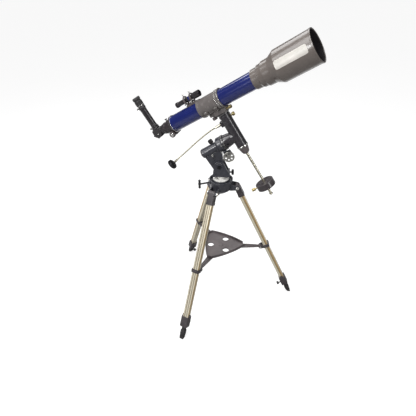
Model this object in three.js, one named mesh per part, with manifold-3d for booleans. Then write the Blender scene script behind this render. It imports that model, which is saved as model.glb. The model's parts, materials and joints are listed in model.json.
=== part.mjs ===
// A small refracting telescope on a German equatorial mount and an aluminium field tripod.
// Units are millimetres and +Z is up. The origin is on the floor, under the middle of the whole object.
// +X is the horizontal direction that the polar axis points to, and the polar axis lies in the XZ plane.

import * as THREE from 'three';
import { mergeVertices } from 'three/addons/utils/BufferGeometryUtils.js';
import Module from 'manifold-3d';

const wasm = await Module();
wasm.setup();

// ---------------------------------------------------------------- driving dimensions

const GAP = 0.3;                      // between pieces that touch

// tripod
const TRIPOD_TURN = 2;                // degrees from +X to the first leg
const HUB_TOP = 735;
const HUB_RADIUS = 56;
const LEG_PIVOT_RADIUS = 77;          // leg hinge bolts, from the tripod's axis
const LEG_PIVOT_HEIGHT = 692;
const FOOT_RADIUS = 388;              // where each foot meets the floor
const LEG_WIDTH = 30;                 // outer leg, across
const LEG_DEPTH = 24;                 // outer leg, from its inner to its outer face
const COLLAR_DROP = 388;              // down the leg, from its hinge to the middle of the collar
const CLAMP_DROP = 650;               // down the leg, from its hinge to the clamp's shoulder
const BRACE_OFFSET = 30;              // brace hinge, in from the leg's centre line
const TRAY_TOP = 345;
const TRAY_CORNER = 118;              // radius at the tray's corners
const TRAY_SIDE = 79;                 // radius at the middle of its bowed sides
const EYEPIECE_HOLE = 32;             // diameter
const EYEPIECE_HOLE_RADIUS = 52;      // from the tray's centre

// mount
const LATITUDE = 32;                  // degrees, the tilt of the polar axis
const CROSSING = [66.5, 0, 953];      // where the polar and declination axes cross
const RA_TURN = -7.3;                 // degrees, the declination axis out of the meridian
const DEC_TURN = 16;                  // degrees, the tube away from the polar axis
const LATITUDE_PIVOT = [84.6, -140.3];  // below the polar axis, and along it from the crossing
const DEC_RADIUS = 25;
const TUBE_OFFSET = 173;              // from the polar axis to the tube's axis
const WEIGHT_RADIUS = 43.5;
const WEIGHT_START = 251;
const WEIGHT_THICKNESS = 29;
const BAR_END = 326;

// optical tube, along its axis from the declination axis
const TUBE_RADIUS = 37;
const TUBE_REAR = -240;
const TUBE_FRONT = 196;
const CAP_RADIUS = 66.5;
const CAP_FRONT = 464;
const LENS_PLACE = 258;               // seat of the objective lens
const LENS_RADIUS = 37.5;
const CELL_RADIUS = 45.6;
const DIAGONAL_CENTRE = -346;
const FINDER_HEIGHT = 64;             // finder's axis above the tube's axis

// half the whole object's reach along X and Y is centred by this shift of the tripod's axis
const TRIPOD_AXIS = [8.21, 6.59];

// ---------------------------------------------------------------- materials

const finish = (color, roughness, metalness) =>
  new THREE.MeshStandardMaterial({ color, roughness, metalness });
const casting = finish(0x3b3638, 0.45, 0.3);
const plastic = finish(0x4a4144, 0.4, 0);
const black = finish(0x1c1a1c, 0.35, 0);
const blue = finish(0x10205e, 0.25, 0.2);
const chrome = finish(0xc8c8c4, 0.15, 1);
const steel = finish(0x9a9484, 0.3, 1);
const aluminium = finish(0xb9ae92, 0.35, 1);
const brass = finish(0x8a7440, 0.4, 1);
const rubber = finish(0x2a2628, 0.8, 0);
const nylon = finish(0xe8e6e0, 0.5, 0);
const ironGrey = finish(0x6a6466, 0.5, 0.4);
const glass = finish(0x8fa6b0, 0.05, 0);
const paleEnamel = finish(0xc6c4be, 0.4, 0.2);

// ---------------------------------------------------------------- solids

/** A closed three.js geometry as a manifold solid, with its faces outward. */
function solidOf(geometry) {
  const bare = geometry.clone();
  bare.deleteAttribute('normal');
  bare.deleteAttribute('uv');
  const merged = mergeVertices(bare, 1e-4);
  const vertProperties = new Float32Array(merged.attributes.position.array);
  const triVerts = new Uint32Array(merged.index.array);
  if (signedVolume(vertProperties, triVerts) < 0) {
    for (let i = 0; i < triVerts.length; i += 3) {
      [triVerts[i], triVerts[i + 1]] = [triVerts[i + 1], triVerts[i]];
    }
  }
  return new wasm.Manifold(new wasm.Mesh({ numProp: 3, vertProperties, triVerts }));
}

function signedVolume(points, triangles) {
  const corner = [new THREE.Vector3(), new THREE.Vector3(), new THREE.Vector3()];
  let total = 0;
  for (let i = 0; i < triangles.length; i += 3) {
    corner.forEach((v, k) => v.fromArray(points, 3 * triangles[i + k]));
    total += corner[0].dot(corner[1].clone().cross(corner[2]));
  }
  return total / 6;
}

function geometryOf(solid) {
  const mesh = solid.getMesh();
  const geometry = new THREE.BufferGeometry();
  geometry.setAttribute('position', new THREE.BufferAttribute(new Float32Array(mesh.vertProperties), 3));
  geometry.setIndex(new THREE.BufferAttribute(new Uint32Array(mesh.triVerts), 1));
  return geometry;
}

function join(...geometries) {
  return geometryOf(geometries.map(solidOf).reduce((whole, next) => whole.add(next)));
}

function cut(geometry, ...tools) {
  return geometryOf(tools.map(solidOf).reduce((whole, tool) => whole.subtract(tool), solidOf(geometry)));
}

/** A body turned about Z from [radius, height] points that start and end on the axis, or close. */
function turned(profile, segments = 16) {
  const points = profile.map(([radius, height]) => new THREE.Vector2(radius, height));
  return new THREE.LatheGeometry(points, segments).rotateX(Math.PI / 2);
}

/** A ring about Z with a plain rectangular section. */
function ring(inner, outer, low, high, segments = 18) {
  return turned([[inner, low], [outer, low], [outer, high], [inner, high], [inner, low]], segments);
}

/** A round rod from the origin along Z. */
function rod(radius, length, segments = 12, endRadius = radius) {
  return new THREE.CylinderGeometry(endRadius, radius, length, segments)
    .rotateX(Math.PI / 2).translate(0, 0, length / 2);
}

/** A box between two corners. */
function block(low, high) {
  const [width, depth, height] = high.map((value, i) => value - low[i]);
  return new THREE.BoxGeometry(width, depth, height)
    .translate(...high.map((value, i) => (value + low[i]) / 2));
}

/** An outline in the XZ plane, as a plate of the given thickness centred on Y. */
function plate(shape, thickness) {
  return new THREE.ExtrudeGeometry(shape, { depth: thickness, bevelEnabled: false, curveSegments: 6 })
    .translate(0, 0, -thickness / 2).rotateX(Math.PI / 2);
}

/** An outline in the XY plane, extruded from one height to another. */
function slab(shape, low, high) {
  return new THREE.ExtrudeGeometry(shape, { depth: high - low, bevelEnabled: false, curveSegments: 10 })
    .translate(0, 0, low);
}

function polygon(points) {
  return new THREE.Shape(points.map(([x, y]) => new THREE.Vector2(x, y)));
}

/** A rectangle with cut corners, centred on the origin. */
function chamferedRectangle(width, depth, corner) {
  const x = width / 2;
  const y = depth / 2;
  return polygon([
    [x - corner, -y], [x, -y + corner], [x, y - corner], [x - corner, y],
    [-x + corner, y], [-x, y - corner], [-x, -y + corner], [-x + corner, -y],
  ]);
}

/** Points in a plane as a shape whose hole is the second outline. */
function framed(outer, inner) {
  outer.holes.push(new THREE.Path(inner.getPoints(1)));
  return outer;
}

/** A rod that lies along Y, centred on a point of the XZ plane. */
function crossRod(radius, length, [x, z], segments = 12) {
  return rod(radius, length, segments).translate(0, 0, -length / 2).rotateX(Math.PI / 2).translate(x, 0, z);
}

/** A round knob on a stem: the stem starts at the origin and points along Z. */
function knob(stemRadius, stemLength, headRadius, headThickness, sides = 12) {
  const top = stemLength + headThickness;
  return turned([
    [0, 0], [stemRadius, 0], [stemRadius, stemLength], [headRadius - 1.5, stemLength],
    [headRadius, stemLength + 1.5], [headRadius, top - 1.5], [headRadius - 1.5, top], [0, top],
  ], sides);
}

function piece(parent, name, geometry, material) {
  const mesh = new THREE.Mesh(geometryOf(solidOf(geometry)), material);
  mesh.name = name;
  parent.add(mesh);
  return mesh;
}

function group(parent, position = [0, 0, 0], turn = [0, 0, 0]) {
  const node = new THREE.Group();
  node.position.set(...position);
  node.rotation.set(...turn.map(THREE.MathUtils.degToRad));
  parent.add(node);
  return node;
}

// ---------------------------------------------------------------- tripod

const LEG_SPLAY = Math.atan2(FOOT_RADIUS - LEG_PIVOT_RADIUS, LEG_PIVOT_HEIGHT);
const LEG_LENGTH = Math.hypot(FOOT_RADIUS - LEG_PIVOT_RADIUS, LEG_PIVOT_HEIGHT);
const LOCK_ANGLE = 200;               // degrees, round the hub to the azimuth lock
const LOCK_HEIGHT = HUB_TOP - 12;

/** The cast head: a dished ring with a seat for the mount and three pairs of ears for the legs. */
function tripodHub() {
  const bowl = turned([
    [0, 668], [30, 668], [50, 686], [HUB_RADIUS, HUB_TOP], [50, HUB_TOP], [48, 724],
    [42, 724], [40.5, HUB_TOP - GAP], [0, HUB_TOP - GAP],
  ], 24);
  const ears = [0, 120, 240].flatMap((angle) => [-1, 1].map((side) => {
    const outline = polygon([[42, 680], [80, 681], [88, 687], [88, 697], [80, 703], [42, 712]]);
    const ear = cut(plate(outline, 5), crossRod(4 + GAP, 8, [LEG_PIVOT_RADIUS, LEG_PIVOT_HEIGHT]));
    return ear.translate(0, 19.5 * side, 0).rotateZ(THREE.MathUtils.degToRad(angle + TRIPOD_TURN));
  }));
  const lockHole = rod(4 + GAP, 20).rotateY(Math.PI / 2).translate(43, 0, LOCK_HEIGHT)
    .rotateZ(THREE.MathUtils.degToRad(LOCK_ANGLE));
  return cut(join(bowl, ...ears), lockHole);
}

/** A screw with a winged bar for a head, along Z. */
function wingScrew(stemRadius, stemLength, barLength) {
  const bar = rod(4, barLength, 10).translate(0, 0, -barLength / 2).rotateY(Math.PI / 2);
  const hub = rod(6, 12, 14);
  return join(rod(stemRadius, stemLength + 6, 14), hub.translate(0, 0, stemLength), bar.translate(0, 0, stemLength + 6));
}

/** Hexagon bolt across the hub's ears, with its nut. */
function hingeBolt() {
  const head = rod(7.5, 4.5, 6);
  return join(
    rod(4, 46, 16).translate(0, 0, -23),
    head.clone().translate(0, 0, 22 + GAP),
    head.clone().translate(0, 0, -26.5 - GAP),
  ).rotateX(Math.PI / 2);
}

/** Plastic head of a leg, round at the hinge and square where the leg plugs in. */
function legHead() {
  const outline = new THREE.Shape();
  outline.moveTo(-14, -54);
  outline.lineTo(15, -54);
  outline.lineTo(15, -12);
  outline.absarc(0, 0, 13, -0.2, Math.PI, false);
  outline.lineTo(-14, -20);
  outline.closePath();
  return cut(plate(outline, 33), crossRod(4 + GAP, 40, [0, 0]));
}

/** Extruded outer leg: a channel section with two grooves down its faces. */
function outerLeg() {
  const section = framed(
    chamferedRectangle(LEG_DEPTH, LEG_WIDTH, 4),
    chamferedRectangle(LEG_DEPTH - 7, LEG_WIDTH - 8, 1.5),
  );
  return slab(section, -CLAMP_DROP - 18, -54 - GAP);
}

/** Inner leg, pushed in, and its foot, which is cut level with the floor. */
function innerLeg() {
  const bar = block([-7, -9.5, -LEG_LENGTH + 40], [7, 9.5, -CLAMP_DROP + 270]);
  const slope = Math.tan(LEG_SPLAY);
  const foot = plate(polygon([
    [-11, -LEG_LENGTH + 48], [-11, -LEG_LENGTH + 24], [-6, -LEG_LENGTH + 6 * slope],
    [8, -LEG_LENGTH - 8 * slope], [11, -LEG_LENGTH + 24], [11, -LEG_LENGTH + 48],
  ]), 22);
  return join(bar, foot);
}

/** Ring round the outer leg, with two ears for the brace. */
function collar() {
  const band = slab(framed(
    chamferedRectangle(LEG_DEPTH + 9, LEG_WIDTH + 9, 4),
    chamferedRectangle(LEG_DEPTH + 2 * GAP, LEG_WIDTH + 2 * GAP, 4),
  ), -COLLAR_DROP - 9, -COLLAR_DROP + 9);
  const outline = polygon([[-14, -10], [-32, -8], [-38, -3], [-38, 4], [-32, 8], [-14, 9]]
    .map(([x, z]) => [x, z - COLLAR_DROP]));
  const ears = [-1, 1].map((side) =>
    cut(plate(outline, 5), crossRod(3 + GAP, 8, [-BRACE_OFFSET, -COLLAR_DROP])).translate(0, 12.5 * side, 0));
  return join(band, ...ears);
}

/** Clamp at the bottom of the outer leg: a sleeve with two horns and a neck round the inner leg. */
function legClamp() {
  const top = -CLAMP_DROP + 14;
  const shoulder = -CLAMP_DROP - 18 - GAP;
  const body = slab(chamferedRectangle(LEG_DEPTH + 10, LEG_WIDTH + 10, 4), shoulder - 24, top);
  const horns = [-1, 1].map((side) =>
    block([-9, side * 17.5 - 2.5, top - 5], [9, side * 17.5 + 2.5, top + 11]));
  const socket = slab(chamferedRectangle(LEG_DEPTH + 2 * GAP, LEG_WIDTH + 2 * GAP, 4), shoulder, top + 20);
  const neck = block([-7.4, -9.9, shoulder - 30], [7.4, 9.9, shoulder + 5]);
  const screwHole = rod(3 + GAP, 20).rotateY(-Math.PI / 2).translate(-6, 0, shoulder - 12);
  return cut(join(body, ...horns), socket, neck, screwHole);
}

/** Spreader brace, from its hinge on the collar in to the tray's corner. */
function brace() {
  const reach = braceHinge()[0] - TRAY_CORNER + 16;
  const bar = slab(polygon([[6, -7], [6, 7], [-40, 8], [-reach, 12], [-reach, -12], [-40, -8]]), -2.5, 2.5);
  const boss = crossRod(6.5, 19, [0, 0], 14);
  return cut(join(bar, boss), crossRod(3 + GAP, 30, [0, 0]));
}

/** The brace's hinge in the leg's own radial plane: [radius, height]. */
function braceHinge() {
  const along = COLLAR_DROP;
  return [
    LEG_PIVOT_RADIUS + along * Math.sin(LEG_SPLAY) - BRACE_OFFSET * Math.cos(LEG_SPLAY),
    LEG_PIVOT_HEIGHT - along * Math.cos(LEG_SPLAY) - BRACE_OFFSET * Math.sin(LEG_SPLAY),
  ];
}

/** Outline of the tray: three corners joined by bowed sides, shrunk by an inset. */
function trayOutline(inset) {
  const shape = new THREE.Shape();
  const at = (radius, degrees) => {
    const angle = THREE.MathUtils.degToRad(degrees);
    return [(radius - inset) * Math.cos(angle), (radius - inset) * Math.sin(angle)];
  };
  shape.moveTo(...at(TRAY_CORNER, -6));
  for (const corner of [0, 120, 240]) {
    shape.lineTo(...at(TRAY_CORNER, corner + 6));
    shape.bezierCurveTo(...at(TRAY_SIDE + 16, corner + 32), ...at(TRAY_SIDE + 16, corner + 88),
      ...at(TRAY_CORNER, corner + 114));
  }
  shape.closePath();
  return shape;
}

/** Accessory tray: a thin floor with a rim, three holes for eyepieces and a centre boss. */
function tray() {
  const low = braceHinge()[1] + 2.5 + GAP;
  const floor = slab(trayOutline(0), low, TRAY_TOP);
  const hollow = slab(trayOutline(4), low + 4, TRAY_TOP + 5);
  const holes = [60, 180, 300].map((angle) => rod(EYEPIECE_HOLE / 2, 40, 16).translate(EYEPIECE_HOLE_RADIUS, 0, low - 20)
    .rotateZ(THREE.MathUtils.degToRad(angle)));
  return join(cut(floor, hollow, ...holes), rod(9, TRAY_TOP - 5 - low, 20).translate(0, 0, low));
}

function buildTripod(model) {
  const tripod = group(model, [...TRIPOD_AXIS, 0]);
  piece(tripod, 'tripod_hub', tripodHub(), casting);
  const lock = group(group(tripod, [0, 0, LOCK_HEIGHT], [0, 0, LOCK_ANGLE]), [45, 0, 0], [0, 90, 0]);
  piece(lock, 'azimuth_lock_screw', wingScrew(4, 54, 44), black);
  const spread = group(tripod, [0, 0, 0], [0, 0, TRIPOD_TURN]);
  piece(spread, 'accessory_tray', tray(), plastic);
  [1, 2, 3].forEach((number, index) => {
    const side = group(spread, [0, 0, 0], [0, 0, 120 * index]);
    const [radius, height] = braceHinge();
    piece(group(side, [radius, 0, height]), `leg_${number}_brace`, brace(), plastic);
    const pivot = group(side, [LEG_PIVOT_RADIUS, 0, LEG_PIVOT_HEIGHT]);
    piece(pivot, `leg_${number}_hinge_bolt`, hingeBolt(), chrome);
    const leg = group(pivot, [0, 0, 0], [0, -THREE.MathUtils.radToDeg(LEG_SPLAY), 0]);
    piece(leg, `leg_${number}_head`, legHead(), casting);
    piece(leg, `leg_${number}_outer`, outerLeg(), aluminium);
    piece(leg, `leg_${number}_collar`, collar(), plastic);
    piece(leg, `leg_${number}_clamp`, legClamp(), plastic);
    piece(leg, `leg_${number}_inner`, innerLeg(), rubber);
    const screw = group(leg, [-8, 0, -CLAMP_DROP - 30 - GAP], [0, -90, 0]);
    piece(screw, `leg_${number}_lock_knob`, knob(3, 24, 9, 9), black);
  });
}

// ---------------------------------------------------------------- mount

const BASE_FLOOR = HUB_TOP + 20;      // underside of the mount's cast base plate
const [PIVOT_X, PIVOT_Z] = LATITUDE_PIVOT;

/** Position of a point of the polar frame's XZ plane, measured from the tripod's axis. */
function fromPolar(x, z) {
  const tilt = THREE.MathUtils.degToRad(LATITUDE);
  return [
    CROSSING[0] + x * Math.sin(tilt) + z * Math.cos(tilt),
    CROSSING[2] - x * Math.cos(tilt) + z * Math.sin(tilt),
  ];
}

/** White nylon bearing under the mount's base: a wide washer and a spacer. */
function azimuthBearing() {
  return turned([[0, HUB_TOP], [37, HUB_TOP], [37, HUB_TOP + 4.5], [17, HUB_TOP + 4.5],
    [17, BASE_FLOOR - GAP], [0, BASE_FLOOR - GAP]], 20);
}

/** Cast base: a plate with two cheeks that hold the polar housing's lug. */
function azimuthBase() {
  const [x, z] = fromPolar(PIVOT_X, PIVOT_Z);
  const outline = new THREE.Shape();
  outline.moveTo(-38, BASE_FLOOR);
  outline.lineTo(42, BASE_FLOOR);
  outline.lineTo(40, BASE_FLOOR + 10);
  outline.absarc(x, z, 26, 0.45, Math.PI + 0.1, false);
  outline.closePath();
  const cheeks = [-1, 1].map((side) => plate(outline, 9).translate(0, 20.5 * side, 0));
  const floor = block([-38, -25, BASE_FLOOR], [42, 25, BASE_FLOOR + 9]);
  const bosses = cut(crossRod(19, 55, [x, z], 24), block([x - 20, -20, z - 20], [x + 20, 20, z + 20]));
  const front = block([26, -25, BASE_FLOOR], [41, 25, BASE_FLOOR + 22]);
  const screwHole = rod(3.5 + GAP, 40).rotateY(Math.PI / 2).translate(20, 0, BASE_FLOOR + 15);
  return cut(join(...cheeks, bosses, floor, front), crossRod(4 + GAP, 60, [x, z]), screwHole);
}

/** Bolt that the mount's head tilts on, with a wide nut each side. */
function latitudeBolt() {
  const nut = rod(9, 4, 6);
  return join(
    rod(4, 58, 16).translate(0, 0, -29),
    nut.clone().translate(0, 0, 27.5 + GAP),
    nut.clone().translate(0, 0, -31.5 - GAP),
  ).rotateX(Math.PI / 2);
}

/** Polar axis housing: a bored barrel with a wide gear case at the front and a lug for the latitude bolt. */
function polarHousing() {
  const barrel = turned([
    [10 + GAP, -174], [19, -174], [22.5, -170], [22.5, -100], [33, -92], [34, -90], [34, -71], [32, -69],
    [10 + GAP, -69], [10 + GAP, -174],
  ], 20);
  const lug = new THREE.Shape();
  lug.moveTo(15, -172);
  lug.lineTo(15, -96);
  lug.lineTo(44, -98);
  lug.absarc(PIVOT_X, PIVOT_Z, 20, 0.7, -0.7, true);
  lug.lineTo(104, -162);
  lug.lineTo(96, -172);
  lug.closePath();
  const web = plate(lug, 31);
  const wormCase = join(block([28, -30, -86], [50, -8, -71]), block([38, -30, -78], [58, -8, -56]));
  const bore = rod(10 + GAP, 130, 20).translate(0, 0, -185);
  const pin = crossRod(4 + GAP, 60, LATITUDE_PIVOT);
  const wormHole = crossRod(4 + GAP, 30, [48, -66]).translate(0, -22, 0);
  const clutchHole = rod(4 + GAP, 16).rotateY(-Math.PI / 2).translate(-12, 0, -113);
  return cut(join(barrel, web, wormCase), bore, pin, wormHole, clutchHole);
}

function polarEndCap() {
  return turned([[0, -183], [8, -183], [10, -180], [19, -178], [20, -174 - GAP], [0, -174 - GAP]]);
}

/** Hidden steel shaft that carries the declination head. */
function polarShaft() {
  return turned([[0, -170], [9.7, -170], [10, -168], [10, -30], [0, -30]], 20);
}

/** Declination head: a drum over the polar shaft that meets a long barrel across it. */
function decHousing() {
  const drum = turned([[0, -58], [31, -58], [29, -34], [24, -22], [24, 0], [0, 0]], 20);
  const barrel = turned([
    [0, -112], [DEC_RADIUS, -112], [DEC_RADIUS, 50], [DEC_RADIUS + 1.5, 50.5], [DEC_RADIUS + 1.5, 56],
    [23, 60], [18, 82], [9, 92], [0, 92],
  ], 20).rotateY(Math.PI / 2);
  const wormCase = block([-88, -12, -34], [-62, 12, -10]);
  const shaftBore = rod(10 + GAP, 40, 20).translate(0, 0, -70);
  const barBore = rod(6 + GAP, 60, 20).rotateY(Math.PI / 2).translate(50, 0, 0);
  const headBore = rod(11 + GAP, 45, 20).rotateY(Math.PI / 2).translate(-130, 0, 0);
  const clutchHole = rod(3.5 + GAP, 14).translate(-90, 0, 16);
  const wormHole = rod(3.5 + GAP, 14).translate(-75, 0, -37);
  return cut(join(drum, barrel, wormCase), shaftBore, barBore, headBore, clutchHole, wormHole);
}

/** Steel bar with a screw and washer at its end that stop the weight. */
function counterweightBar() {
  return turned([
    [0, 62], [6, 62], [6, BAR_END - 8], [9, BAR_END - 8], [9, BAR_END - 5], [5, BAR_END - 5],
    [5, BAR_END], [0, BAR_END],
  ], 20).rotateY(Math.PI / 2);
}

function counterweight() {
  const far = WEIGHT_START + WEIGHT_THICKNESS;
  const disc = turned([
    [6 + GAP, WEIGHT_START], [WEIGHT_RADIUS - 2, WEIGHT_START], [WEIGHT_RADIUS, WEIGHT_START + 2],
    [WEIGHT_RADIUS, far - 2], [WEIGHT_RADIUS - 2, far], [6 + GAP, far], [6 + GAP, WEIGHT_START],
  ], 24).rotateY(Math.PI / 2);
  const screwHole = rod(3 + GAP, 50).rotateX(Math.PI).translate((WEIGHT_START + far) / 2, 0, -8);
  return cut(disc, screwHole);
}

/** Hand wheel with round holes on the worm's shaft: the shaft starts at the origin, along Z. */
function handWheel(stemLength, radius) {
  const wheel = turned([[0, 0], [4, 0], [4, stemLength], [radius - 1, stemLength],
    [radius, stemLength + 2], [radius, stemLength + 8], [0, stemLength + 8]], 18);
  const holes = Array.from({ length: 6 }, (_, i) => rod(radius * 0.15, 20, 6)
    .translate(radius * 0.62, 0, stemLength - 5).rotateZ(i * Math.PI / 3));
  return cut(wheel, ...holes);
}

/** Knob with five lobes, on a stem along Z. */
function lobedKnob(stemRadius, stemLength, radius, thickness) {
  const outline = new THREE.Shape();
  const count = 20;
  for (let i = 0; i < count; i += 1) {
    const angle = 2 * Math.PI * i / count;
    const reach = radius * (0.9 + 0.1 * Math.cos(5 * angle));
    outline[i ? 'lineTo' : 'moveTo'](reach * Math.cos(angle), reach * Math.sin(angle));
  }
  return join(rod(stemRadius, stemLength + 2, 14), slab(outline, stemLength, stemLength + thickness));
}

/** Flexible declination drive: ferrules at both ends of a bent shaft, in the declination head's frame. */
const FLEX_START = [-75, 0, -32.5];
const FLEX_END = [-34, -8, -308];
const flexRoute = new THREE.CatmullRomCurve3([
  FLEX_START, [-75, 0, -52], [-75, -1, -80], [-66, -4, -150], [-50, -7, -230], [-38, -8, -290], FLEX_END,
].map((point) => new THREE.Vector3(...point)));

function flexShaft() {
  const round = new THREE.Shape().absarc(0, 0, 3.2, 0, 2 * Math.PI, false);
  const cable = new THREE.ExtrudeGeometry(round, { steps: 24, curveSegments: 4, extrudePath: flexRoute });
  const ferrule = rod(6, 28, 14, 5).rotateX(Math.PI).translate(-75, 0, -34.5);
  const spindle = rod(3.5, 16, 14).translate(-75, 0, -40);
  return join(cable, ferrule, spindle);
}

function buildMount(model) {
  const [pivotX, pivotZ] = fromPolar(PIVOT_X, PIVOT_Z);
  const mount = group(model, [...TRIPOD_AXIS, 0]);
  piece(mount, 'azimuth_bearing', azimuthBearing(), nylon);
  piece(mount, 'azimuth_base', azimuthBase(), casting);
  piece(group(mount, [pivotX, 0, pivotZ]), 'latitude_bolt', latitudeBolt(), chrome);
  const thrust = group(mount, [22, 0, BASE_FLOOR + 15], [0, 90, 0]);
  piece(thrust, 'latitude_screw', wingScrew(3.5, 26, 26), steel);

  const polar = group(mount, CROSSING, [0, 90 - LATITUDE, 0]);
  piece(polar, 'polar_housing', polarHousing(), casting);
  piece(polar, 'polar_end_cap', polarEndCap(), plastic);
  piece(group(polar, [-13, 0, -113], [0, -90, 0]), 'ra_clutch_knob', lobedKnob(4, 14, 11, 16), black);
  piece(group(polar, [48, -14, -66], [90, 0, 0]), 'ra_worm_wheel', handWheel(40, 25), chrome);

  const head = group(polar, [0, 0, 0], [0, 0, RA_TURN]);
  piece(head, 'ra_setting_circle', ring(10 + GAP, 35, -69 + GAP, -58 - GAP, 36), paleEnamel);
  piece(head, 'polar_shaft', polarShaft(), steel);
  piece(head, 'dec_housing', decHousing(), casting);
  piece(head, 'counterweight_bar', counterweightBar(), steel);
  piece(head, 'counterweight', counterweight(), ironGrey);
  const lockX = WEIGHT_START + WEIGHT_THICKNESS / 2;
  piece(group(head, [lockX, 0, -10], [0, 180, 0]), 'counterweight_screw', knob(3, 42, 7, 18, 12), brass);
  piece(group(head, [-90, 0, 17]), 'dec_clutch_knob', lobedKnob(3.5, 14, 9, 12), brass);
  piece(head, 'dec_flex_shaft', flexShaft(), steel);
  const end = flexRoute.getTangent(1);
  const handle = group(head, FLEX_END);
  handle.quaternion.setFromUnitVectors(new THREE.Vector3(0, 0, 1), end);
  piece(handle, 'dec_slow_motion_knob', turned([[0, GAP], [5, GAP], [5, 8], [20, 10], [23, 13], [23, 21],
    [21, 24], [0, 24]], 24), chrome);
  return head;
}

// ---------------------------------------------------------------- optical tube

/** Cradle on the declination shaft: a long split sleeve with raised rings round the tube. */
function tubeClamp() {
  const bore = TUBE_RADIUS + GAP;
  const sleeve = turned([
    [bore, -80], [43, -80], [43, -70], [40, -69], [40, 16], [43, 17], [43, 36], [bore, 36], [bore, -80],
  ], 24);
  const foot = block([36, -20, -34], [56.5, 20, 30]);
  const shaft = rod(11, 34, 20).rotateY(Math.PI / 2).translate(50, 0, 0);
  const ear = block([34, -14, -58], [52, 14, -36]);
  const passage = rod(bore, 200, 36).translate(0, 0, -100);
  const knobHole = rod(3.5 + GAP, 20).rotateY(Math.PI / 2).translate(42, 0, -47);
  return cut(join(sleeve, foot, shaft, ear), passage, knobHole);
}

function mainTube() {
  return ring(TUBE_RADIUS - 2, TUBE_RADIUS, TUBE_REAR, TUBE_FRONT, 26);
}

/** Dew cap: a collar, a stepped flare and a wide cylinder, open at the front. */
function dewCap() {
  const start = TUBE_FRONT + GAP;
  const lip = CAP_FRONT - 5;
  return turned([
    [TUBE_RADIUS - 2, start], [TUBE_RADIUS + 4, start], [TUBE_RADIUS + 4.5, start + 28],
    [45.5, start + 33], [46.5, start + 48], [50, start + 53], [50.5, start + 82],
    [CAP_RADIUS - 1, start + 114], [CAP_RADIUS - 1, lip], [CAP_RADIUS, lip], [CAP_RADIUS, CAP_FRONT],
    [CAP_RADIUS - 4, CAP_FRONT], [CAP_RADIUS - 5, start + 118], [CELL_RADIUS + GAP, start + 84],
    [CELL_RADIUS + GAP, start + 54], [38, start + 50], [37.5, start + 30],
    [TUBE_RADIUS - 2, start + 16], [TUBE_RADIUS - 2, start],
  ], 26);
}


/** Cell that holds the objective inside the dew cap. */
function objectiveCell() {
  return turned([
    [35.5, LENS_PLACE - 2], [CELL_RADIUS, LENS_PLACE - 2], [CELL_RADIUS, LENS_PLACE + 16],
    [LENS_RADIUS + GAP, LENS_PLACE + 14], [LENS_RADIUS + GAP, LENS_PLACE + 2],
    [35.5, LENS_PLACE + 2], [35.5, LENS_PLACE - 2],
  ], 26);
}

function objectiveLens() {
  return turned([[0, LENS_PLACE + 2 + GAP], [LENS_RADIUS, LENS_PLACE + 2 + GAP],
    [LENS_RADIUS, LENS_PLACE + 8], [20, LENS_PLACE + 11], [0, LENS_PLACE + 12]], 24);
}

/** Focuser: a flange in the tube's end, a square body and a pinion block below it. */
function focuserBody() {
  const rear = TUBE_REAR - GAP;
  const body = turned([
    [0, rear - 58], [25, rear - 58], [27, rear - 55], [27, rear - 14], [40, rear - 6], [40, rear], [0, rear],
  ], 24);
  const pinionBlock = block([18, -18, rear - 38], [44, 18, rear - 8]);
  const bore = rod(19 + GAP, 80, 24).translate(0, 0, rear - 64);
  const rackSlot = block([15, -4, rear - 70], [22, 4, rear + 1]);
  const shaftHole = crossRod(3 + GAP, 60, [34, rear - 22]);
  return cut(join(body, pinionBlock), bore, rackSlot, shaftHole);
}

/** Chromed drawtube with its rack underneath. */
function drawtube() {
  const rear = TUBE_REAR - 68;
  const tube = ring(16, 19, rear, TUBE_REAR + 40, 20);
  const rack = block([18, -3.5, rear + 14], [21.5, 3.5, TUBE_REAR + 38]);
  return join(tube, rack);
}

/** Pinion shaft across the focuser with a knob at each end. */
function focusKnobs() {
  const wheel = turned([[0, 0], [13, 0], [14.5, 3], [14.5, 14], [13, 16], [0, 16]], 16);
  return join(
    rod(3, 60, 14).translate(0, 0, -30),
    wheel.clone().translate(0, 0, 22),
    wheel.clone().rotateX(Math.PI).translate(0, 0, -22),
  ).rotateX(Math.PI / 2);
}

/** Star diagonal: a short tube into the drawtube, a wedge that holds the mirror, a tube up to the eyepiece. */
function starDiagonal() {
  const centre = DIAGONAL_CENTRE;
  const wedge = plate(polygon([[-20, centre - 19], [2, centre - 21], [21, centre - 2], [21, centre + 20],
    [-20, centre + 20]]), 38);
  const nose = rod(15.5, 28, 16).translate(0, 0, centre + 19);
  const neck = rod(19, 16, 16).rotateY(-Math.PI / 2).translate(-19, 0, centre);
  const inlet = rod(12, 60, 16).translate(0, 0, centre);
  const outlet = rod(14 + GAP, 60, 16).rotateY(-Math.PI / 2).translate(6, 0, centre);
  return cut(join(wedge, nose, neck), inlet, outlet);
}

/** Long amplifier lens tube that stands in the diagonal. */
function barlowTube() {
  return turned([
    [11, -16], [14, -16], [14, 0.6], [15.5, 0.6], [15.5, 92], [17.5, 94], [17.5, 114], [14.3, 114],
    [14.3, 84], [11, 82], [11, -16],
  ], 16);
}

function eyepiece() {
  return turned([
    [0, 90], [14, 90], [14, 114 + GAP], [18.5, 114 + GAP], [18.5, 132], [16.5, 134], [16.5, 138],
    [19, 142], [17, 152], [11, 152], [9, 148], [0, 148],
  ], 16);
}

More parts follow.
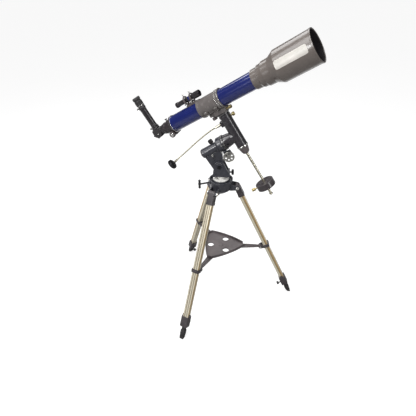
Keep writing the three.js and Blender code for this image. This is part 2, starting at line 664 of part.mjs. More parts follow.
/** Finder foot on the tube with two rings. */
function finderBracket() {
  const rings = [-124, -90].map((place) =>
    ring(15, 19, place - 4, place + 4, 18).translate(-FINDER_HEIGHT, 0, 0));
  const web = block([-FINDER_HEIGHT + 16, -4, -128], [-TUBE_RADIUS - 3, 4, -86]);
  const pad = block([-TUBE_RADIUS - 6, -11, -132], [-TUBE_RADIUS + 6, 11, -82]);
  const under = rod(TUBE_RADIUS + GAP, 80, 40).translate(0, 0, -150);
  return cut(join(...rings, web, pad), under);
}

/** Small straight finder telescope, with its objective at the front. */
function finderTube() {
  return turned([
    [0, -158], [10.5, -158], [10.5, -84], [12, -82], [14.4, -76], [14.4, -46], [12.5, -46], [12.5, -58],
    [0, -58],
  ], 24).translate(-FINDER_HEIGHT, 0, 0);
}

function finderEyepiece() {
  return turned([[0, -180], [8, -180], [12, -177], [12, -164], [9, -162], [9, -158 - GAP], [0, -158 - GAP]], 24)
    .translate(-FINDER_HEIGHT, 0, 0);
}

/** The tube and all that it carries, turned on the declination axis. */
function buildTube(head) {
  const tube = group(head, [-TUBE_OFFSET, 0, 0], [DEC_TURN, 0, 0]);
  piece(tube, 'dec_setting_circle', turned([[11 + GAP, 0], [30, 0], [30, 4], [11 + GAP, 4], [11 + GAP, 0]], 20)
    .rotateY(Math.PI / 2).translate(TUBE_OFFSET - 112 - 4 - 0.15, 0, 0), paleEnamel);
  piece(tube, 'tube_clamp', tubeClamp(), casting);
  piece(group(tube, [44, 0, -47], [0, 90, 0]), 'tube_clamp_knob', lobedKnob(3.5, 14, 12, 12), plastic);
  piece(tube, 'main_tube', mainTube(), blue);
  piece(tube, 'dew_cap', dewCap(), plastic);
  piece(tube, 'objective_cell', objectiveCell(), black);
  piece(tube, 'objective_lens', objectiveLens(), glass);
  piece(tube, 'focuser_body', focuserBody(), plastic);
  piece(tube, 'drawtube', drawtube(), chrome);
  piece(group(tube, [34, 0, TUBE_REAR - 22 - GAP]), 'focus_knobs', focusKnobs(), plastic);
  piece(tube, 'star_diagonal', starDiagonal(), black);
  const upright = group(tube, [-36, 0, DIAGONAL_CENTRE], [0, -90, 0]);
  piece(upright, 'barlow_tube', barlowTube(), black);
  piece(upright, 'eyepiece', eyepiece(), black);
  piece(tube, 'finder_bracket', finderBracket(), plastic);
  piece(tube, 'finder_tube', finderTube(), black);
  piece(tube, 'finder_eyepiece', finderEyepiece(), black);
}

// ---------------------------------------------------------------- the whole object

const telescope = new THREE.Group();
telescope.name = 'telescope_on_tripod';
buildTripod(telescope);
buildTube(buildMount(telescope));

export default telescope;
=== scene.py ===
"""Looks of a small refracting telescope on a German equatorial mount and an aluminium field tripod."""

import json
import math

import bmesh
import bpy
from mathutils import Matrix, Vector


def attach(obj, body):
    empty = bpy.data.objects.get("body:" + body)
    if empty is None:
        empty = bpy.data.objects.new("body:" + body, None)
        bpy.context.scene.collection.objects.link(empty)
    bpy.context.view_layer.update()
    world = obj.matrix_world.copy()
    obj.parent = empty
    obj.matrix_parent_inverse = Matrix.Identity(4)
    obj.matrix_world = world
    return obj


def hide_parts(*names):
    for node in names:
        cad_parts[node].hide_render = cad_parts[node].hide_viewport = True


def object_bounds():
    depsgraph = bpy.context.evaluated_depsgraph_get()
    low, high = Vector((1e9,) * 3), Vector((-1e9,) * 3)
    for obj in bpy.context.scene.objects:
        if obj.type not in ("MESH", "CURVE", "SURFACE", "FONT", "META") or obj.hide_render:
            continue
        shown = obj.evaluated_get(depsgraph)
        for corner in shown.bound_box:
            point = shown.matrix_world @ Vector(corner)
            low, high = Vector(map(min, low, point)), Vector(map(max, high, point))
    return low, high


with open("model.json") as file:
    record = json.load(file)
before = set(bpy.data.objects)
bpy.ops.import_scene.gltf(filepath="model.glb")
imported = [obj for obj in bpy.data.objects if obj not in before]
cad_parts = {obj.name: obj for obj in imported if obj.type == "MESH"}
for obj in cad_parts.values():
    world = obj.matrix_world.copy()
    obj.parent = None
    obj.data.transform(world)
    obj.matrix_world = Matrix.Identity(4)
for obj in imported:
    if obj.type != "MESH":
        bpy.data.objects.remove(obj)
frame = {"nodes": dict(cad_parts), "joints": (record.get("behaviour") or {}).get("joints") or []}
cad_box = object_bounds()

# ------------------------------------------------------------------------------------------------
# Tripod head. A dished ring of cast aluminium, turned on its rim and its seat, with three pairs of
# ears for the legs. It is sprayed with dark semi-gloss enamel that shows the sand of the casting.

MM = 0.001
UP = Vector((0, 0, 1))
joints = {joint["name"]: joint for joint in frame["joints"]}


def axis_of(joint):
    return Vector(joints[joint]["axis"]).normalized()


def pin_of(joint):
    return Vector(joints[joint]["pos_m"])


def standing(origin, along, ahead):
    """Axes for a piece drawn in millimetres: Z along one direction and X as near as it can be to another."""
    z = Vector(along).normalized()
    x = (Vector(ahead) - z * z.dot(Vector(ahead))).normalized()
    axes = Matrix((x, z.cross(x), z)).transposed().to_4x4()
    return Matrix.Translation(origin) @ axes @ Matrix.Scale(MM, 4)


def moved(x=0, y=0, z=0):
    return Matrix.Translation((x, y, z))


def turned_about(axis, degrees):
    return Matrix.Rotation(math.radians(degrees), 4, axis)


def mesh_from(work, name="shape"):
    """A bmesh as a mesh, with its seams merged and its faces outward."""
    bmesh.ops.remove_doubles(work, verts=work.verts, dist=1e-4)
    bmesh.ops.recalc_face_normals(work, faces=work.faces)
    mesh = bpy.data.meshes.new(name)
    work.to_mesh(mesh)
    work.free()
    return mesh


def shifted(mesh, place):
    """The same mesh, moved on the bench."""
    mesh.transform(place)
    if place.determinant() < 0:
        mesh.flip_normals()
    return mesh


def eased(profile, radius, closed=False, steps=4):
    """A profile with an arc in place of each corner, as far as the sides beside it allow."""
    points = [Vector(point) for point in profile]
    count = len(points)
    result = []
    for index, corner in enumerate(points):
        if not closed and index in (0, count - 1):
            result.append(corner)
            continue
        before = points[index - 1] - corner
        after = points[(index + 1) % count] - corner
        bend = math.pi - before.angle(after, 0)
        if bend < 0.2 or min(before.length, after.length) < 1e-6:
            result.append(corner)
            continue
        reach = min(radius * math.tan(bend / 2), 0.45 * before.length, 0.45 * after.length)
        start = corner + before.normalized() * reach
        end = corner + after.normalized() * reach
        for step in range(steps + 1):
            share = step / steps
            result.append(start.lerp(corner, share).lerp(corner.lerp(end, share), share))
    return [tuple(point) for point in result]


def lathed(profile, edge=0.0, closed=False, segments=96, start=0.0):
    """A shape turned about Z from points of radius and of height above its start."""
    points = eased(profile, edge, closed) if edge else [tuple(point) for point in profile]
    work = bmesh.new()
    rings = []
    for radius, height in points:
        height += start
        if radius < 1e-6:
            rings.append([work.verts.new((0, 0, height))] * segments)
            continue
        angles = (2 * math.pi * index / segments for index in range(segments))
        rings.append([work.verts.new((radius * math.cos(a), radius * math.sin(a), height)) for a in angles])
    pairs = list(zip(rings, rings[1:])) + ([(rings[-1], rings[0])] if closed else [])
    for lower, upper in pairs:
        for index in range(segments):
            after = (index + 1) % segments
            corners = (lower[index], lower[after], upper[after], upper[index])
            corners = tuple(dict.fromkeys(corners))
            if len(corners) > 2:
                work.faces.new(corners)
    return mesh_from(work)


def rod(radius, low, high, edge=0.0, top=None):
    """A disc or rod along Z, or a cone where its top has a radius of its own."""
    return lathed([(0, low), (radius, low), (top or radius, high), (0, high)], edge)


def ring(inside, outside, low, high, edge=0.0, segments=96):
    """A plain band round Z."""
    return lathed([(inside, low), (outside, low), (outside, high), (inside, high)], edge, True, segments)


def plain_mesh_of(thing):
    """What an object and its modifiers come to, as a mesh. The object itself is thrown away."""
    bpy.context.scene.collection.objects.link(thing)
    graph = bpy.context.evaluated_depsgraph_get()
    mesh = bpy.data.meshes.new_from_object(thing.evaluated_get(graph), depsgraph=graph)
    bpy.data.objects.remove(thing)
    return mesh


def plate(outline, low, high, edge=0.8, holes=()):
    """A flat blank with rounded edges, cut along an outline and its holes in XY."""
    curve = bpy.data.curves.new("blank", "CURVE")
    curve.dimensions = "2D"
    curve.fill_mode = "BOTH"
    curve.bevel_depth = edge
    curve.bevel_resolution = 2
    curve.offset = -edge
    curve.extrude = (high - low) / 2 - edge
    for loop in (outline, *holes):
        spline = curve.splines.new("POLY")
        spline.points.add(len(loop) - 1)
        spline.use_cyclic_u = True
        for point, (x, y) in zip(spline.points, loop):
            point.co = (x, y, 0, 1)
    mesh = plain_mesh_of(bpy.data.objects.new("blank", curve))
    work = bmesh.new()
    work.from_mesh(mesh)
    work.transform(moved(z=(low + high) / 2))
    return mesh_from(work)


def circle(radius, x=0.0, y=0.0, count=48):
    angles = (2 * math.pi * index / count for index in range(count))
    return [(x + radius * math.cos(angle), y + radius * math.sin(angle)) for angle in angles]


def upright(mesh):
    """A blank cut in XY, stood up so that its outline lies in XZ."""
    return shifted(mesh, turned_about("X", 90))


def fused(first, *others, less=()):
    """One closed shell from shapes that overlap, with other shapes taken out of it."""
    thing = bpy.data.objects.new("casting", first)
    helpers = []
    for operation, shapes in (("UNION", others), ("DIFFERENCE", less)):
        for shape in shapes:
            helper = bpy.data.objects.new("pattern", shape)
            bpy.context.scene.collection.objects.link(helper)
            helpers.append(helper)
            change = thing.modifiers.new(operation, "BOOLEAN")
            change.operation = operation
            change.solver = "MANIFOLD"
            change.object = helper
    mesh = plain_mesh_of(thing)
    for helper in helpers:
        bpy.data.objects.remove(helper)
    return mesh


def together(*meshes):
    """Separate shells in one mesh."""
    work = bmesh.new()
    for mesh in meshes:
        work.from_mesh(mesh)
    joined = bpy.data.meshes.new("shape")
    work.to_mesh(joined)
    work.free()
    return joined


class Value:
    """One output of a finish's nodes. Sums of values add the Math nodes that they need."""

    def __init__(self, finish, socket):
        self.finish = finish
        self.socket = socket

    def sum(self, operation, first, second):
        return self.finish.node("ShaderNodeMath", {"operation": operation}, {0: first, 1: second})

    def __add__(self, other):
        return self.sum("ADD", self, other)

    def __radd__(self, other):
        return self.sum("ADD", other, self)

    def __sub__(self, other):
        return self.sum("SUBTRACT", self, other)

    def __rsub__(self, other):
        return self.sum("SUBTRACT", other, self)

    def __mul__(self, other):
        return self.sum("MULTIPLY", self, other)

    def __rmul__(self, other):
        return self.sum("MULTIPLY", other, self)

    def __gt__(self, other):
        return self.sum("GREATER_THAN", self, other)


class Finish:
    """A material in the making: node() adds a node of any type and surface() the shader."""

    def __init__(self, name):
        self.material = bpy.data.materials.new(name)
        self.material.use_nodes = True
        self.nodes = self.material.node_tree.nodes
        self.links = self.material.node_tree.links
        self.nodes.clear()

    def node(self, kind, settings=None, values=None, output=0):
        node = self.nodes.new(kind)
        for name, setting in (settings or {}).items():
            if name == "stops":
                node.color_ramp.elements.new(0.5)
                while len(node.color_ramp.elements) < len(setting):
                    node.color_ramp.elements.new(0.5)
                while len(node.color_ramp.elements) > len(setting):
                    node.color_ramp.elements.remove(node.color_ramp.elements[-1])
                for element, (position, colour) in zip(node.color_ramp.elements, setting):
                    element.position = position
                    element.color = (*colour, 1)
            else:
                setattr(node, name, setting)
        for name, value in (values or {}).items():
            if isinstance(value, Value):
                self.links.new(value.socket, node.inputs[name])
            else:
                node.inputs[name].default_value = value
        return Value(self, node.outputs[output])

    def own_place(self, stretch=(1, 1, 1)):
        """Where a point is on the piece's own axes, in metres, with each axis scaled."""
        place = self.node("ShaderNodeAttribute", {"attribute_name": "own_place"}, output=1)
        return self.node("ShaderNodeVectorMath", {"operation": "MULTIPLY"}, {0: place, 1: stretch})

    def speckle(self, place, scale, detail=3.0):
        return self.node("ShaderNodeTexNoise", {}, {"Vector": place, "Scale": scale, "Detail": detail})

    def between(self, share, low, high):
        """A colour between two others."""
        return self.node("ShaderNodeMix", {"data_type": "RGBA"}, {0: share, 6: low, 7: high}, output=2)

    def spread(self, value, low, high, start=0.3, end=0.7):
        """A value from start to end, spread out from low to high."""
        settings = {"interpolation_type": "SMOOTHSTEP"}
        values = {0: value, 1: start, 2: end, 3: low, 4: high}
        return self.node("ShaderNodeMapRange", settings, values)

    def bump(self, height, depth):
        """A normal for a height of 0 to 1 that is the given number of millimetres deep."""
        return self.node("ShaderNodeBump", {}, {"Height": height, "Strength": 1.0, "Distance": depth * MM})

    def surface(self, **values):
        names = {name.replace("_", " "): value for name, value in values.items()}
        names = {name.replace("Ior", "IOR"): value for name, value in names.items()}
        shader = self.node("ShaderNodeBsdfPrincipled", {}, names)
        self.node_out(shader)
        return self.material

    def node_out(self, shader):
        output = self.nodes.new("ShaderNodeOutputMaterial")
        self.links.new(shader.socket, output.inputs["Surface"])


def cast_enamel(name, colour, light, shine=0.30):
    """Sprayed enamel over a casting: a soft mottle, fine orange peel and small paler rubbed spots."""
    finish = Finish(name)
    place = finish.own_place()
    cloud = finish.speckle(place, 45, 4)
    peel = finish.speckle(place, 750, 2)
    worn = finish.spread(finish.speckle(place, 160), 0, 0.5, 0.64, 0.76)
    tone = finish.between(finish.spread(cloud, 0, 1), (*colour, 1), (*light, 1))
    return finish.surface(
        Base_Color=finish.between(worn, tone, (0.16, 0.155, 0.15, 1)),
        Roughness=finish.spread(cloud, shine, shine + 0.10) + worn * 0.1,
        Specular_IOR_Level=0.45,
        Coat_Weight=0.25,
        Coat_Roughness=0.10,
        Normal=finish.bump(peel * 0.6 + finish.speckle(place, 190) * 0.4, 0.10),
    )


def piece(name, mesh, place, body, material, stands_for=(), crease=32):
    """Sets a finished shape in its place on a body of the frame."""
    mesh.name = name
    positions = [value for vertex in mesh.vertices for value in vertex.co * MM]
    mesh.attributes.new("own_place", "FLOAT_VECTOR", "POINT").data.foreach_set("vector", positions)
    mesh.transform(place)
    mesh.shade_smooth()
    mesh.set_sharp_from_angle(angle=math.radians(crease))
    mesh.materials.clear()
    mesh.materials.append(material)
    thing = bpy.data.objects.new(name, mesh)
    bpy.context.scene.collection.objects.link(thing)
    even = thing.modifiers.new("even_light", "WEIGHTED_NORMAL")
    even.keep_sharp = True
    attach(thing, body)
    if stands_for:
        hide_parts(*stands_for)
    return thing


tripod_axis = pin_of("azimuth_turn")
first_leg = axis_of("leg_1_fold").cross(UP)
tripod = standing(tripod_axis, UP, first_leg)
HUB_TOP = 735
LEG_HINGE = (77, 692)
lock_screw = standing(pin_of("azimuth_lock_turn"), axis_of("azimuth_lock_turn"), UP)

casting_enamel = cast_enamel("casting_enamel", (0.030, 0.031, 0.039), (0.040, 0.041, 0.051), 0.26)
bowl = lathed([(0, 669), (24, 669), (30, 668), (50, 686), (54, 716), (56, HUB_TOP), (50.5, HUB_TOP),
               (48, 724), (42, 724), (40.5, HUB_TOP - 0.4), (0, HUB_TOP - 0.4)], edge=1.6)
ear_outline = eased([(40, 679), (80, 681), (90, 687), (90, 697), (80, 703), (40, 713)], 6, closed=True)
ears = []
for turn in (0, 120, 240):
    for side in (-1, 1):
        ear = upright(plate(ear_outline, -2.5, 2.5, 0.9, [circle(4.2, *LEG_HINGE, count=24)]))
        seat = shifted(rod(9.5, 0, 0.7, 0.3), turned_about("X", -90 * side))
        for shape, place in ((ear, moved(y=19.5 * side)), (seat,
                                                           moved(LEG_HINGE[0], 21.5 * side, LEG_HINGE[1]))):
            ears.append(shifted(shape, turned_about("Z", turn) @ place))
lock_boss = shifted(rod(10.5, 0, 11, 0.8, top=9), tripod.inverted() @ lock_screw @ moved(z=4))
piece("tripod_head_casting", fused(bowl, *ears, lock_boss), tripod, "tripod_head", casting_enamel,
      ["tripod_hub"])

# ------------------------------------------------------------------------------------------------
# Azimuth lock. A black screw through the rim of the tripod head grips the mount's foot. Its moulded
# end has a bar across it for the fingers.

def moulded_plastic(name, colour, light, shine=0.34, grain=0.05, coat=0.0):
    """Moulded plastic: even colour with a faint flow cloud, spark-eroded grain and small scuffs."""
    finish = Finish(name)
    place = finish.own_place()
    cloud = finish.speckle(place, 22, 3)
    scuffs = finish.spread(finish.speckle(finish.own_place((1, 1, 0.12)), 420, 4), 0, 1, 0.60, 0.74)
    return finish.surface(
        Base_Color=finish.between(finish.spread(cloud, 0, 1), (*colour, 1), (*light, 1)),
        Roughness=finish.spread(cloud, shine, shine + 0.05) + scuffs * 0.05,
        Coat_Weight=coat,
        Coat_Roughness=0.08,
        Normal=finish.bump(finish.speckle(place, 1400, 2), grain),
    )


black_plastic = moulded_plastic("black_plastic", (0.012, 0.011, 0.012), (0.020, 0.018, 0.020))


def wing_screw(stem, length, bar):
    """A screw from the origin along Z, with a round bar across a short hub."""
    half = bar / 2
    grip = lathed([(0, -half), (6, -half), (4.8, 0), (6, half), (0, half)], 2.4)
    grip = shifted(grip, moved(z=length + 6) @ turned_about("Y", 90))
    hub = lathed([(0, length), (5.2, length), (6, length + 2), (6, length + 12), (0, length + 12)], 1)
    return fused(rod(stem, 0, length + 2, 0.4), hub, grip)


piece("azimuth_lock_bar", wing_screw(4, 54, 44), lock_screw, "azimuth_lock", black_plastic,
      ["azimuth_lock_screw"])

# ------------------------------------------------------------------------------------------------
# Leg hinge bolts. Chromed hexagon bolts through the head's ears, each with a washer and a nut.

def bright_metal(name, colour, low, high, lines=(1, 1, 1), scratch=0.012):
    """Polished or turned metal: fine lines along its stretched direction and a thin haze."""
    finish = Finish(name)
    haze = finish.speckle(finish.own_place(), 60, 4)
    streaks = finish.speckle(finish.own_place(lines), 900, 3)
    stain = finish.spread(haze, 0, 1, 0.42, 0.75)
    darker = tuple(0.80 * part for part in colour)
    return finish.surface(
        Base_Color=finish.between(stain, (*colour, 1), (*darker, 1)),
        Metallic=1.0,
        Roughness=finish.spread(streaks, low, high) + stain * 0.06,
        Normal=finish.bump(streaks, scratch),
    )


chromed = bright_metal("chromed_steel", (0.82, 0.81, 0.78), 0.14, 0.24)


def hexagon(across):
    return circle(across / math.sqrt(3), count=6)


def hex_head(across, low, high):
    """A hexagon head with the corners of its outer face turned off."""
    cone = across * 0.5
    turned = lathed([(0, low - 1), (cone * 1.3, low - 1), (cone * 1.3, high - 1.6),
                     (cone * 0.96, high), (0, high)], 0.2)
    thing = bpy.data.objects.new("head", plate(hexagon(across), low, high + 0.01, 0.15))
    helper = bpy.data.objects.new("turning", turned)
    bpy.context.scene.collection.objects.link(helper)
    change = thing.modifiers.new("turned", "BOOLEAN")
    change.operation = "INTERSECT"
    change.solver = "MANIFOLD"
    change.object = helper
    mesh = plain_mesh_of(thing)
    bpy.data.objects.remove(helper)
    return mesh


def through_bolt(stem, reach, across, thick):
    """A bolt along Z, centred on the origin, with a hexagon and a washer at each end."""
    shank = rod(stem, -reach - thick - 1, reach + 1, 0.6)
    ends = []
    for side in (1, -1):
        washer = rod(across * 0.62, reach, reach + 0.9, 0.25)
        head = fused(hex_head(across, reach + 0.6, reach + thick), washer)
        ends.append(shifted(head, turned_about("X", 0 if side == 1 else 180)))
    return fused(shank, *ends)


for number in (1, 2, 3):
    hinge = standing(pin_of(f"leg_{number}_fold"), axis_of(f"leg_{number}_fold"), UP)
    piece(f"leg_{number}_hinge_bolt_chromed", through_bolt(4, 22.3, 13, 4.4), hinge, "tripod_head", chromed,
          [f"leg_{number}_hinge_bolt"])

# ------------------------------------------------------------------------------------------------
# Legs. Each has a moulded head on the hinge, a drawn aluminium channel, anodised pale champagne with
# grooves along its faces, a moulded collar for the brace, and a clamp with two horns at its foot.

LEG_WIDTH = 30
LEG_DEPTH = 24
COLLAR_DROP = 388
CLAMP_DROP = 650
HEAD_DROP = 54

leg_plastic = moulded_plastic("leg_plastic", (0.040, 0.034, 0.037), (0.056, 0.048, 0.052), 0.36, 0.06)


def champagne_anodised():
    """Anodised aluminium, drawn through a die: fine lines all along the leg, with painted shade in the
    grooves and on the outer part of each narrow face.
    """
    finish = Finish("champagne_anodised")
    lines = finish.speckle(finish.own_place((1, 1, 0.004)), 1300, 2)
    bands = finish.speckle(finish.own_place((1, 1, 0.02)), 120, 3)
    cloud = finish.speckle(finish.own_place((1, 1, 0.3)), 14, 3)
    tone = finish.between(finish.spread(bands * 0.5 + cloud * 0.5, 0, 1),
                          (0.88, 0.82, 0.66, 1), (0.76, 0.69, 0.53, 1))
    outward, across = (finish.node("ShaderNodeSeparateXYZ", {}, {0: finish.own_place()}, output=axis)
                       for axis in (0, 1))
    away = finish.node("ShaderNodeMath", {"operation": "ABSOLUTE"}, {0: across})
    narrow_face = finish.spread(away, 0, 1, 0.0128, 0.0144)
    # Painted shade: a dark line along the groove on the outer side of each narrow face.
    side_groove_painted_shade = narrow_face * finish.spread(outward, 0, 1, 0.0006, 0.0012) * finish.spread(outward, 1, 0,
                                                                                           0.0030, 0.0036)
    # Painted shade: the V grooves on the wide faces are painted dark, as if in shadow.
    groove_painted_shade = finish.spread(away, 0, 1, 0.0034, 0.0046) * finish.spread(away, 1, 0, 0.0062, 0.0074) + side_groove_painted_shade
    # Painted shade: the outer part of each narrow face is painted a deeper, browner champagne.
    tone = finish.between(narrow_face * finish.spread(outward, 0, 1, 0.0022, 0.0032), tone,
                          (0.60, 0.42, 0.20, 1))
    return finish.surface(
        # The groove shade is painted dark brown into the base colour over the champagne tone.
        Base_Color=finish.between(groove_painted_shade * 0.9, tone, (0.20, 0.13, 0.06, 1)),
        Metallic=0.6,
        Roughness=finish.spread(lines, 0.22, 0.34) + finish.spread(cloud, 0, 0.05),
        Normal=finish.bump(lines, 0.012),
    )


champagne = champagne_anodised()


def box_outline(depth, width, corner):
    x, y = depth / 2, width / 2
    return eased([(x, -y), (x, y), (-x, y), (-x, -y)], corner, closed=True, steps=5)


def grooved_outline():
    """The channel's section: rounded corners, with two V grooves on each wide face."""
    x, y = LEG_DEPTH / 2, LEG_WIDTH / 2
    wide = [(x, -y), (x, -6.2), (x - 1.3, -5.2), (x, -4.2), (x, 4.2), (x - 1.3, 5.2), (x, 6.2), (x, y)]
    side = [(3.0, y), (2.2, y - 1), (1.4, y), (-1.4, y), (-2.2, y - 1), (-3.0, y)]
    half = wide + side
    points = half + [(-across, -along) for across, along in half]
    result = []
    for index, point in enumerate(points):
        corner = abs(abs(point[0]) - x) < 1e-6 and abs(abs(point[1]) - y) < 1e-6
        if not corner:
            result.append(point)
            continue
        before, after = Vector(points[index - 1]), Vector(points[(index + 1) % len(points)])
        here = Vector(point)
        start = here + (before - here).normalized() * 4
        end = here + (after - here).normalized() * 4
        result += [tuple(start.lerp(here, t / 6).lerp(here.lerp(end, t / 6), t / 6)) for t in range(7)]
    return result


leg_head_outline = eased([(-14, -HEAD_DROP), (15, -HEAD_DROP), (15, -8)], 3)
leg_head_outline += [(13.4 * math.cos(a), 13.4 * math.sin(a))
                     for a in (math.radians(d) for d in range(0, 181, 12))]
leg_head_outline += [(-14, -20)]


def leg_head():
    """A moulded fork end: a block round the bolt, hollowed between its ribs, with a skirt below."""
    body = upright(plate(leg_head_outline, -16.5, 16.5, 2.2, [circle(4.3, count=24)]))
    skirt = plate(box_outline(31, 35, 4), -HEAD_DROP - 0.2, -HEAD_DROP + 12, 1.0)
    pockets = []
    for side in (-1, 1):
        pocket = upright(plate(eased([(-9, -38), (10, -38), (10, -17), (-9, -17)], 4, closed=True), -3, 3,
                               0.8))
        pockets.append(shifted(pocket, moved(y=17.2 * side)))
    channel = plate(box_outline(LEG_DEPTH - 8, LEG_WIDTH - 9, 2), -HEAD_DROP - 5, -HEAD_DROP + 3, 0.2)
    return fused(body, skirt, less=[*pockets, channel])


def collar():
    """A moulded band round the channel, with a lip round its middle and two ears for the brace's pin."""
    inner = box_outline(LEG_DEPTH + 0.6, LEG_WIDTH + 0.6, 4)
    band = plate(box_outline(LEG_DEPTH + 9, LEG_WIDTH + 9, 5), -9, 9, 1.2, [inner])
    lip = plate(box_outline(LEG_DEPTH + 10.6, LEG_WIDTH + 10.6, 5.5), -2, 2, 0.8, [inner])
    outline = eased([(-14, -10), (-31, -8), (-38, -4), (-38, 4), (-31, 8), (-14, 9)], 4, closed=True)
    ears = [shifted(upright(plate(outline, -2.5, 2.5, 0.7, [circle(3.3, -30, 0, 24)])), moved(y=12.5 * side))
            for side in (-1, 1)]
    return fused(band, lip, *ears)


def leg_clamp():
    """The clamp: a sleeve over the channel's end, two horns up its sides and a neck on the inner leg."""
    outer = box_outline(LEG_DEPTH + 10, LEG_WIDTH + 10, 5)
    sleeve = plate(outer, -18.3, 14, 1.4, [box_outline(LEG_DEPTH + 0.6, LEG_WIDTH + 0.6, 4)])
    neck = plate(outer, -42.3, -17, 2.4, [[(-7.5, -9.9), (7.5, -9.9), (7.5, 9.9), (-7.5, 9.9)]])
    horn_outline = eased([(-9, 6), (-9, 20), (-6, 25), (6, 25), (9, 20), (9, 6)], 3, closed=True)
    horns = [shifted(upright(plate(horn_outline, -2.4, 2.4, 0.8)), moved(y=17.4 * side)) for side in (-1, 1)]
    boss = shifted(rod(9, 0, 2.4, 0.6, top=8.4), moved(-16.4, 0, -30.3) @ turned_about("Y", -90))
    hole = shifted(rod(3.3, 0, 14), moved(-6, 0, -30.3) @ turned_about("Y", -90))
    return fused(sleeve, neck, *horns, boss, less=[hole])


def leg_place(number):
    """The leg's axes: from its hinge, Z up along it and X outward."""
    hinge = f"leg_{number}_fold"
    return standing(pin_of(hinge), -axis_of(f"leg_{number}_extend"), axis_of(hinge).cross(UP))


for number in (1, 2, 3):
    leg = leg_place(number)
    body = f"leg_{number}"
    piece(f"{body}_head_moulding", leg_head(), leg, body, leg_plastic, [f"{body}_head"])
    hollow = box_outline(LEG_DEPTH - 7, LEG_WIDTH - 8, 1.5)
    channel = plate(grooved_outline(), -CLAMP_DROP - 18, -HEAD_DROP - 0.3, 0.25, [hollow])
    piece(f"{body}_channel", channel, leg, body, champagne, [f"{body}_outer"], crease=24)
    piece(f"{body}_collar_moulding", shifted(collar(), moved(z=-COLLAR_DROP)), leg, body, leg_plastic,
          [f"{body}_collar"])
    piece(f"{body}_clamp_moulding", shifted(leg_clamp(), moved(z=-CLAMP_DROP)), leg, body, leg_plastic,
          [f"{body}_clamp"])

# ------------------------------------------------------------------------------------------------
# Inner legs and feet. A plain square bar slides in the channel; its moulded rubber foot tapers to a
# tread that is cut level with the ground, with ribs across it that keep it from slipping.

class Growth:
    """A tree of geometry nodes that repeats an item and sets its material."""

    def __init__(self, name, inputs):
        self.tree = bpy.data.node_groups.new(name, "GeometryNodeTree")
        for socket, kind in {**inputs, "Finish": "Material"}.items():
            self.tree.interface.new_socket(socket, in_out="INPUT", socket_type=f"NodeSocket{kind}")
        self.tree.interface.new_socket("Row", in_out="OUTPUT", socket_type="NodeSocketGeometry")
        self.given = self.node("NodeGroupInput").outputs

    def node(self, kind, links=(), **settings):
        made = self.tree.nodes.new(kind)
        for name, value in settings.items():
            setattr(made, name, value)
        for socket, source in links:
            self.tree.links.new(source, made.inputs[socket])
        return made

    def close(self, copies):
        """Makes the copies real and gives them their material."""
        real = self.node("GeometryNodeRealizeInstances", [("Geometry", copies.outputs[0])])
        links = [("Geometry", real.outputs[0]), ("Material", self.given["Finish"])]
        finished = self.node("GeometryNodeSetMaterial", links)
        self.node("NodeGroupOutput", [(0, finished.outputs[0])])

    def grown(self, thing, values):
        """What comes of the tree on an object, as a plain mesh."""
        change = thing.modifiers.new("growth", "NODES")
        change.node_group = self.tree
        for item in self.tree.interface.items_tree:
            if item.name in values:
                change[item.identifier] = values[item.name]
        return plain_mesh_of(thing)


def round_the_axis():
    """Copies an item round its own Z axis, each a step further round and along."""
    growth = Growth("round_the_axis", {"Item": "Geometry", "Count": "Int", "Step": "Float", "Rise": "Float"})
    node, given = growth.node, growth.given
    index = node("GeometryNodeInputIndex").outputs[0]
    turn = node("ShaderNodeMath", [(0, index), (1, given["Step"])], operation="MULTIPLY")
    rise = node("ShaderNodeMath", [(0, index), (1, given["Rise"])], operation="MULTIPLY")
    place = node("ShaderNodeCombineXYZ", [("Z", rise.outputs[0])])
    points = node("GeometryNodePoints", [("Count", given["Count"]), ("Position", place.outputs[0])])
    angles = node("ShaderNodeCombineXYZ", [("Z", turn.outputs[0])])
    rotation = node("FunctionNodeEulerToRotation", [(0, angles.outputs[0])])
    growth.close(node("GeometryNodeInstanceOnPoints", [
        ("Points", points.outputs[0]), ("Instance", given["Item"]), ("Rotation", rotation.outputs[0])]))
    return growth


ROW = round_the_axis()


def row_of(item, count, step, material, rise=0.0):
    """An item repeated round Z, each the given degrees and millimetres after the last."""
    values = {"Count": count, "Step": math.radians(step), "Rise": float(rise), "Finish": material}
    return ROW.grown(bpy.data.objects.new("row", item), values)


LEG_LENGTH = pin_of("leg_1_fold").z / -axis_of("leg_1_extend").z / MM
foot_rubber = moulded_plastic("foot_rubber", (0.016, 0.015, 0.016), (0.026, 0.024, 0.025), 0.62, 0.09)


def inner_leg_and_foot():
    bar = plate(box_outline(14, 19, 2), -LEG_LENGTH + 40, -CLAMP_DROP + 270, 0.4)
    slope = math.tan(math.acos(-axis_of("leg_1_extend").z))
    tread = [(-6, -LEG_LENGTH + 6 * slope), (8, -LEG_LENGTH - 8 * slope)]
    outline = [(-11, -LEG_LENGTH + 48), (-11, -LEG_LENGTH + 24), *tread, (11, -LEG_LENGTH + 24),
               (11, -LEG_LENGTH + 48)]
    foot = upright(plate(outline, -11, 11, 1.4))
    ribs = [plate(box_outline(23.4, 23.4, 3), -LEG_LENGTH + 28 + 6 * step, -LEG_LENGTH + 31 + 6 * step, 0.8)
            for step in range(3)]
    return fused(bar, foot, *ribs)


for number in (1, 2, 3):
    piece(f"leg_{number}_inner_bar_and_foot", inner_leg_and_foot(), leg_place(number),
          f"leg_{number}_extension", foot_rubber, [f"leg_{number}_inner"])

# ------------------------------------------------------------------------------------------------
# Leg locks. A thumbscrew on the inner side of each clamp: a steel stem and a fluted plastic knob.

def fluted_knob(radius, low, high, flutes=12, depth=1.0, edge=1.2):
    """A moulded knob along Z with flutes round it and a dished top."""
    count = flutes * 8
    outline = []
    for index in range(count):
        angle = 2 * math.pi * index / count
        reach = radius - depth * (0.5 + 0.5 * math.cos(flutes * angle)) ** 3
        outline.append((reach * math.cos(angle), reach * math.sin(angle)))
    dish = rod(radius * 0.62, high - 1, high + 1, 0.4, top=radius * 0.70)
    return fused(plate(outline, low, high, edge), less=[dish])


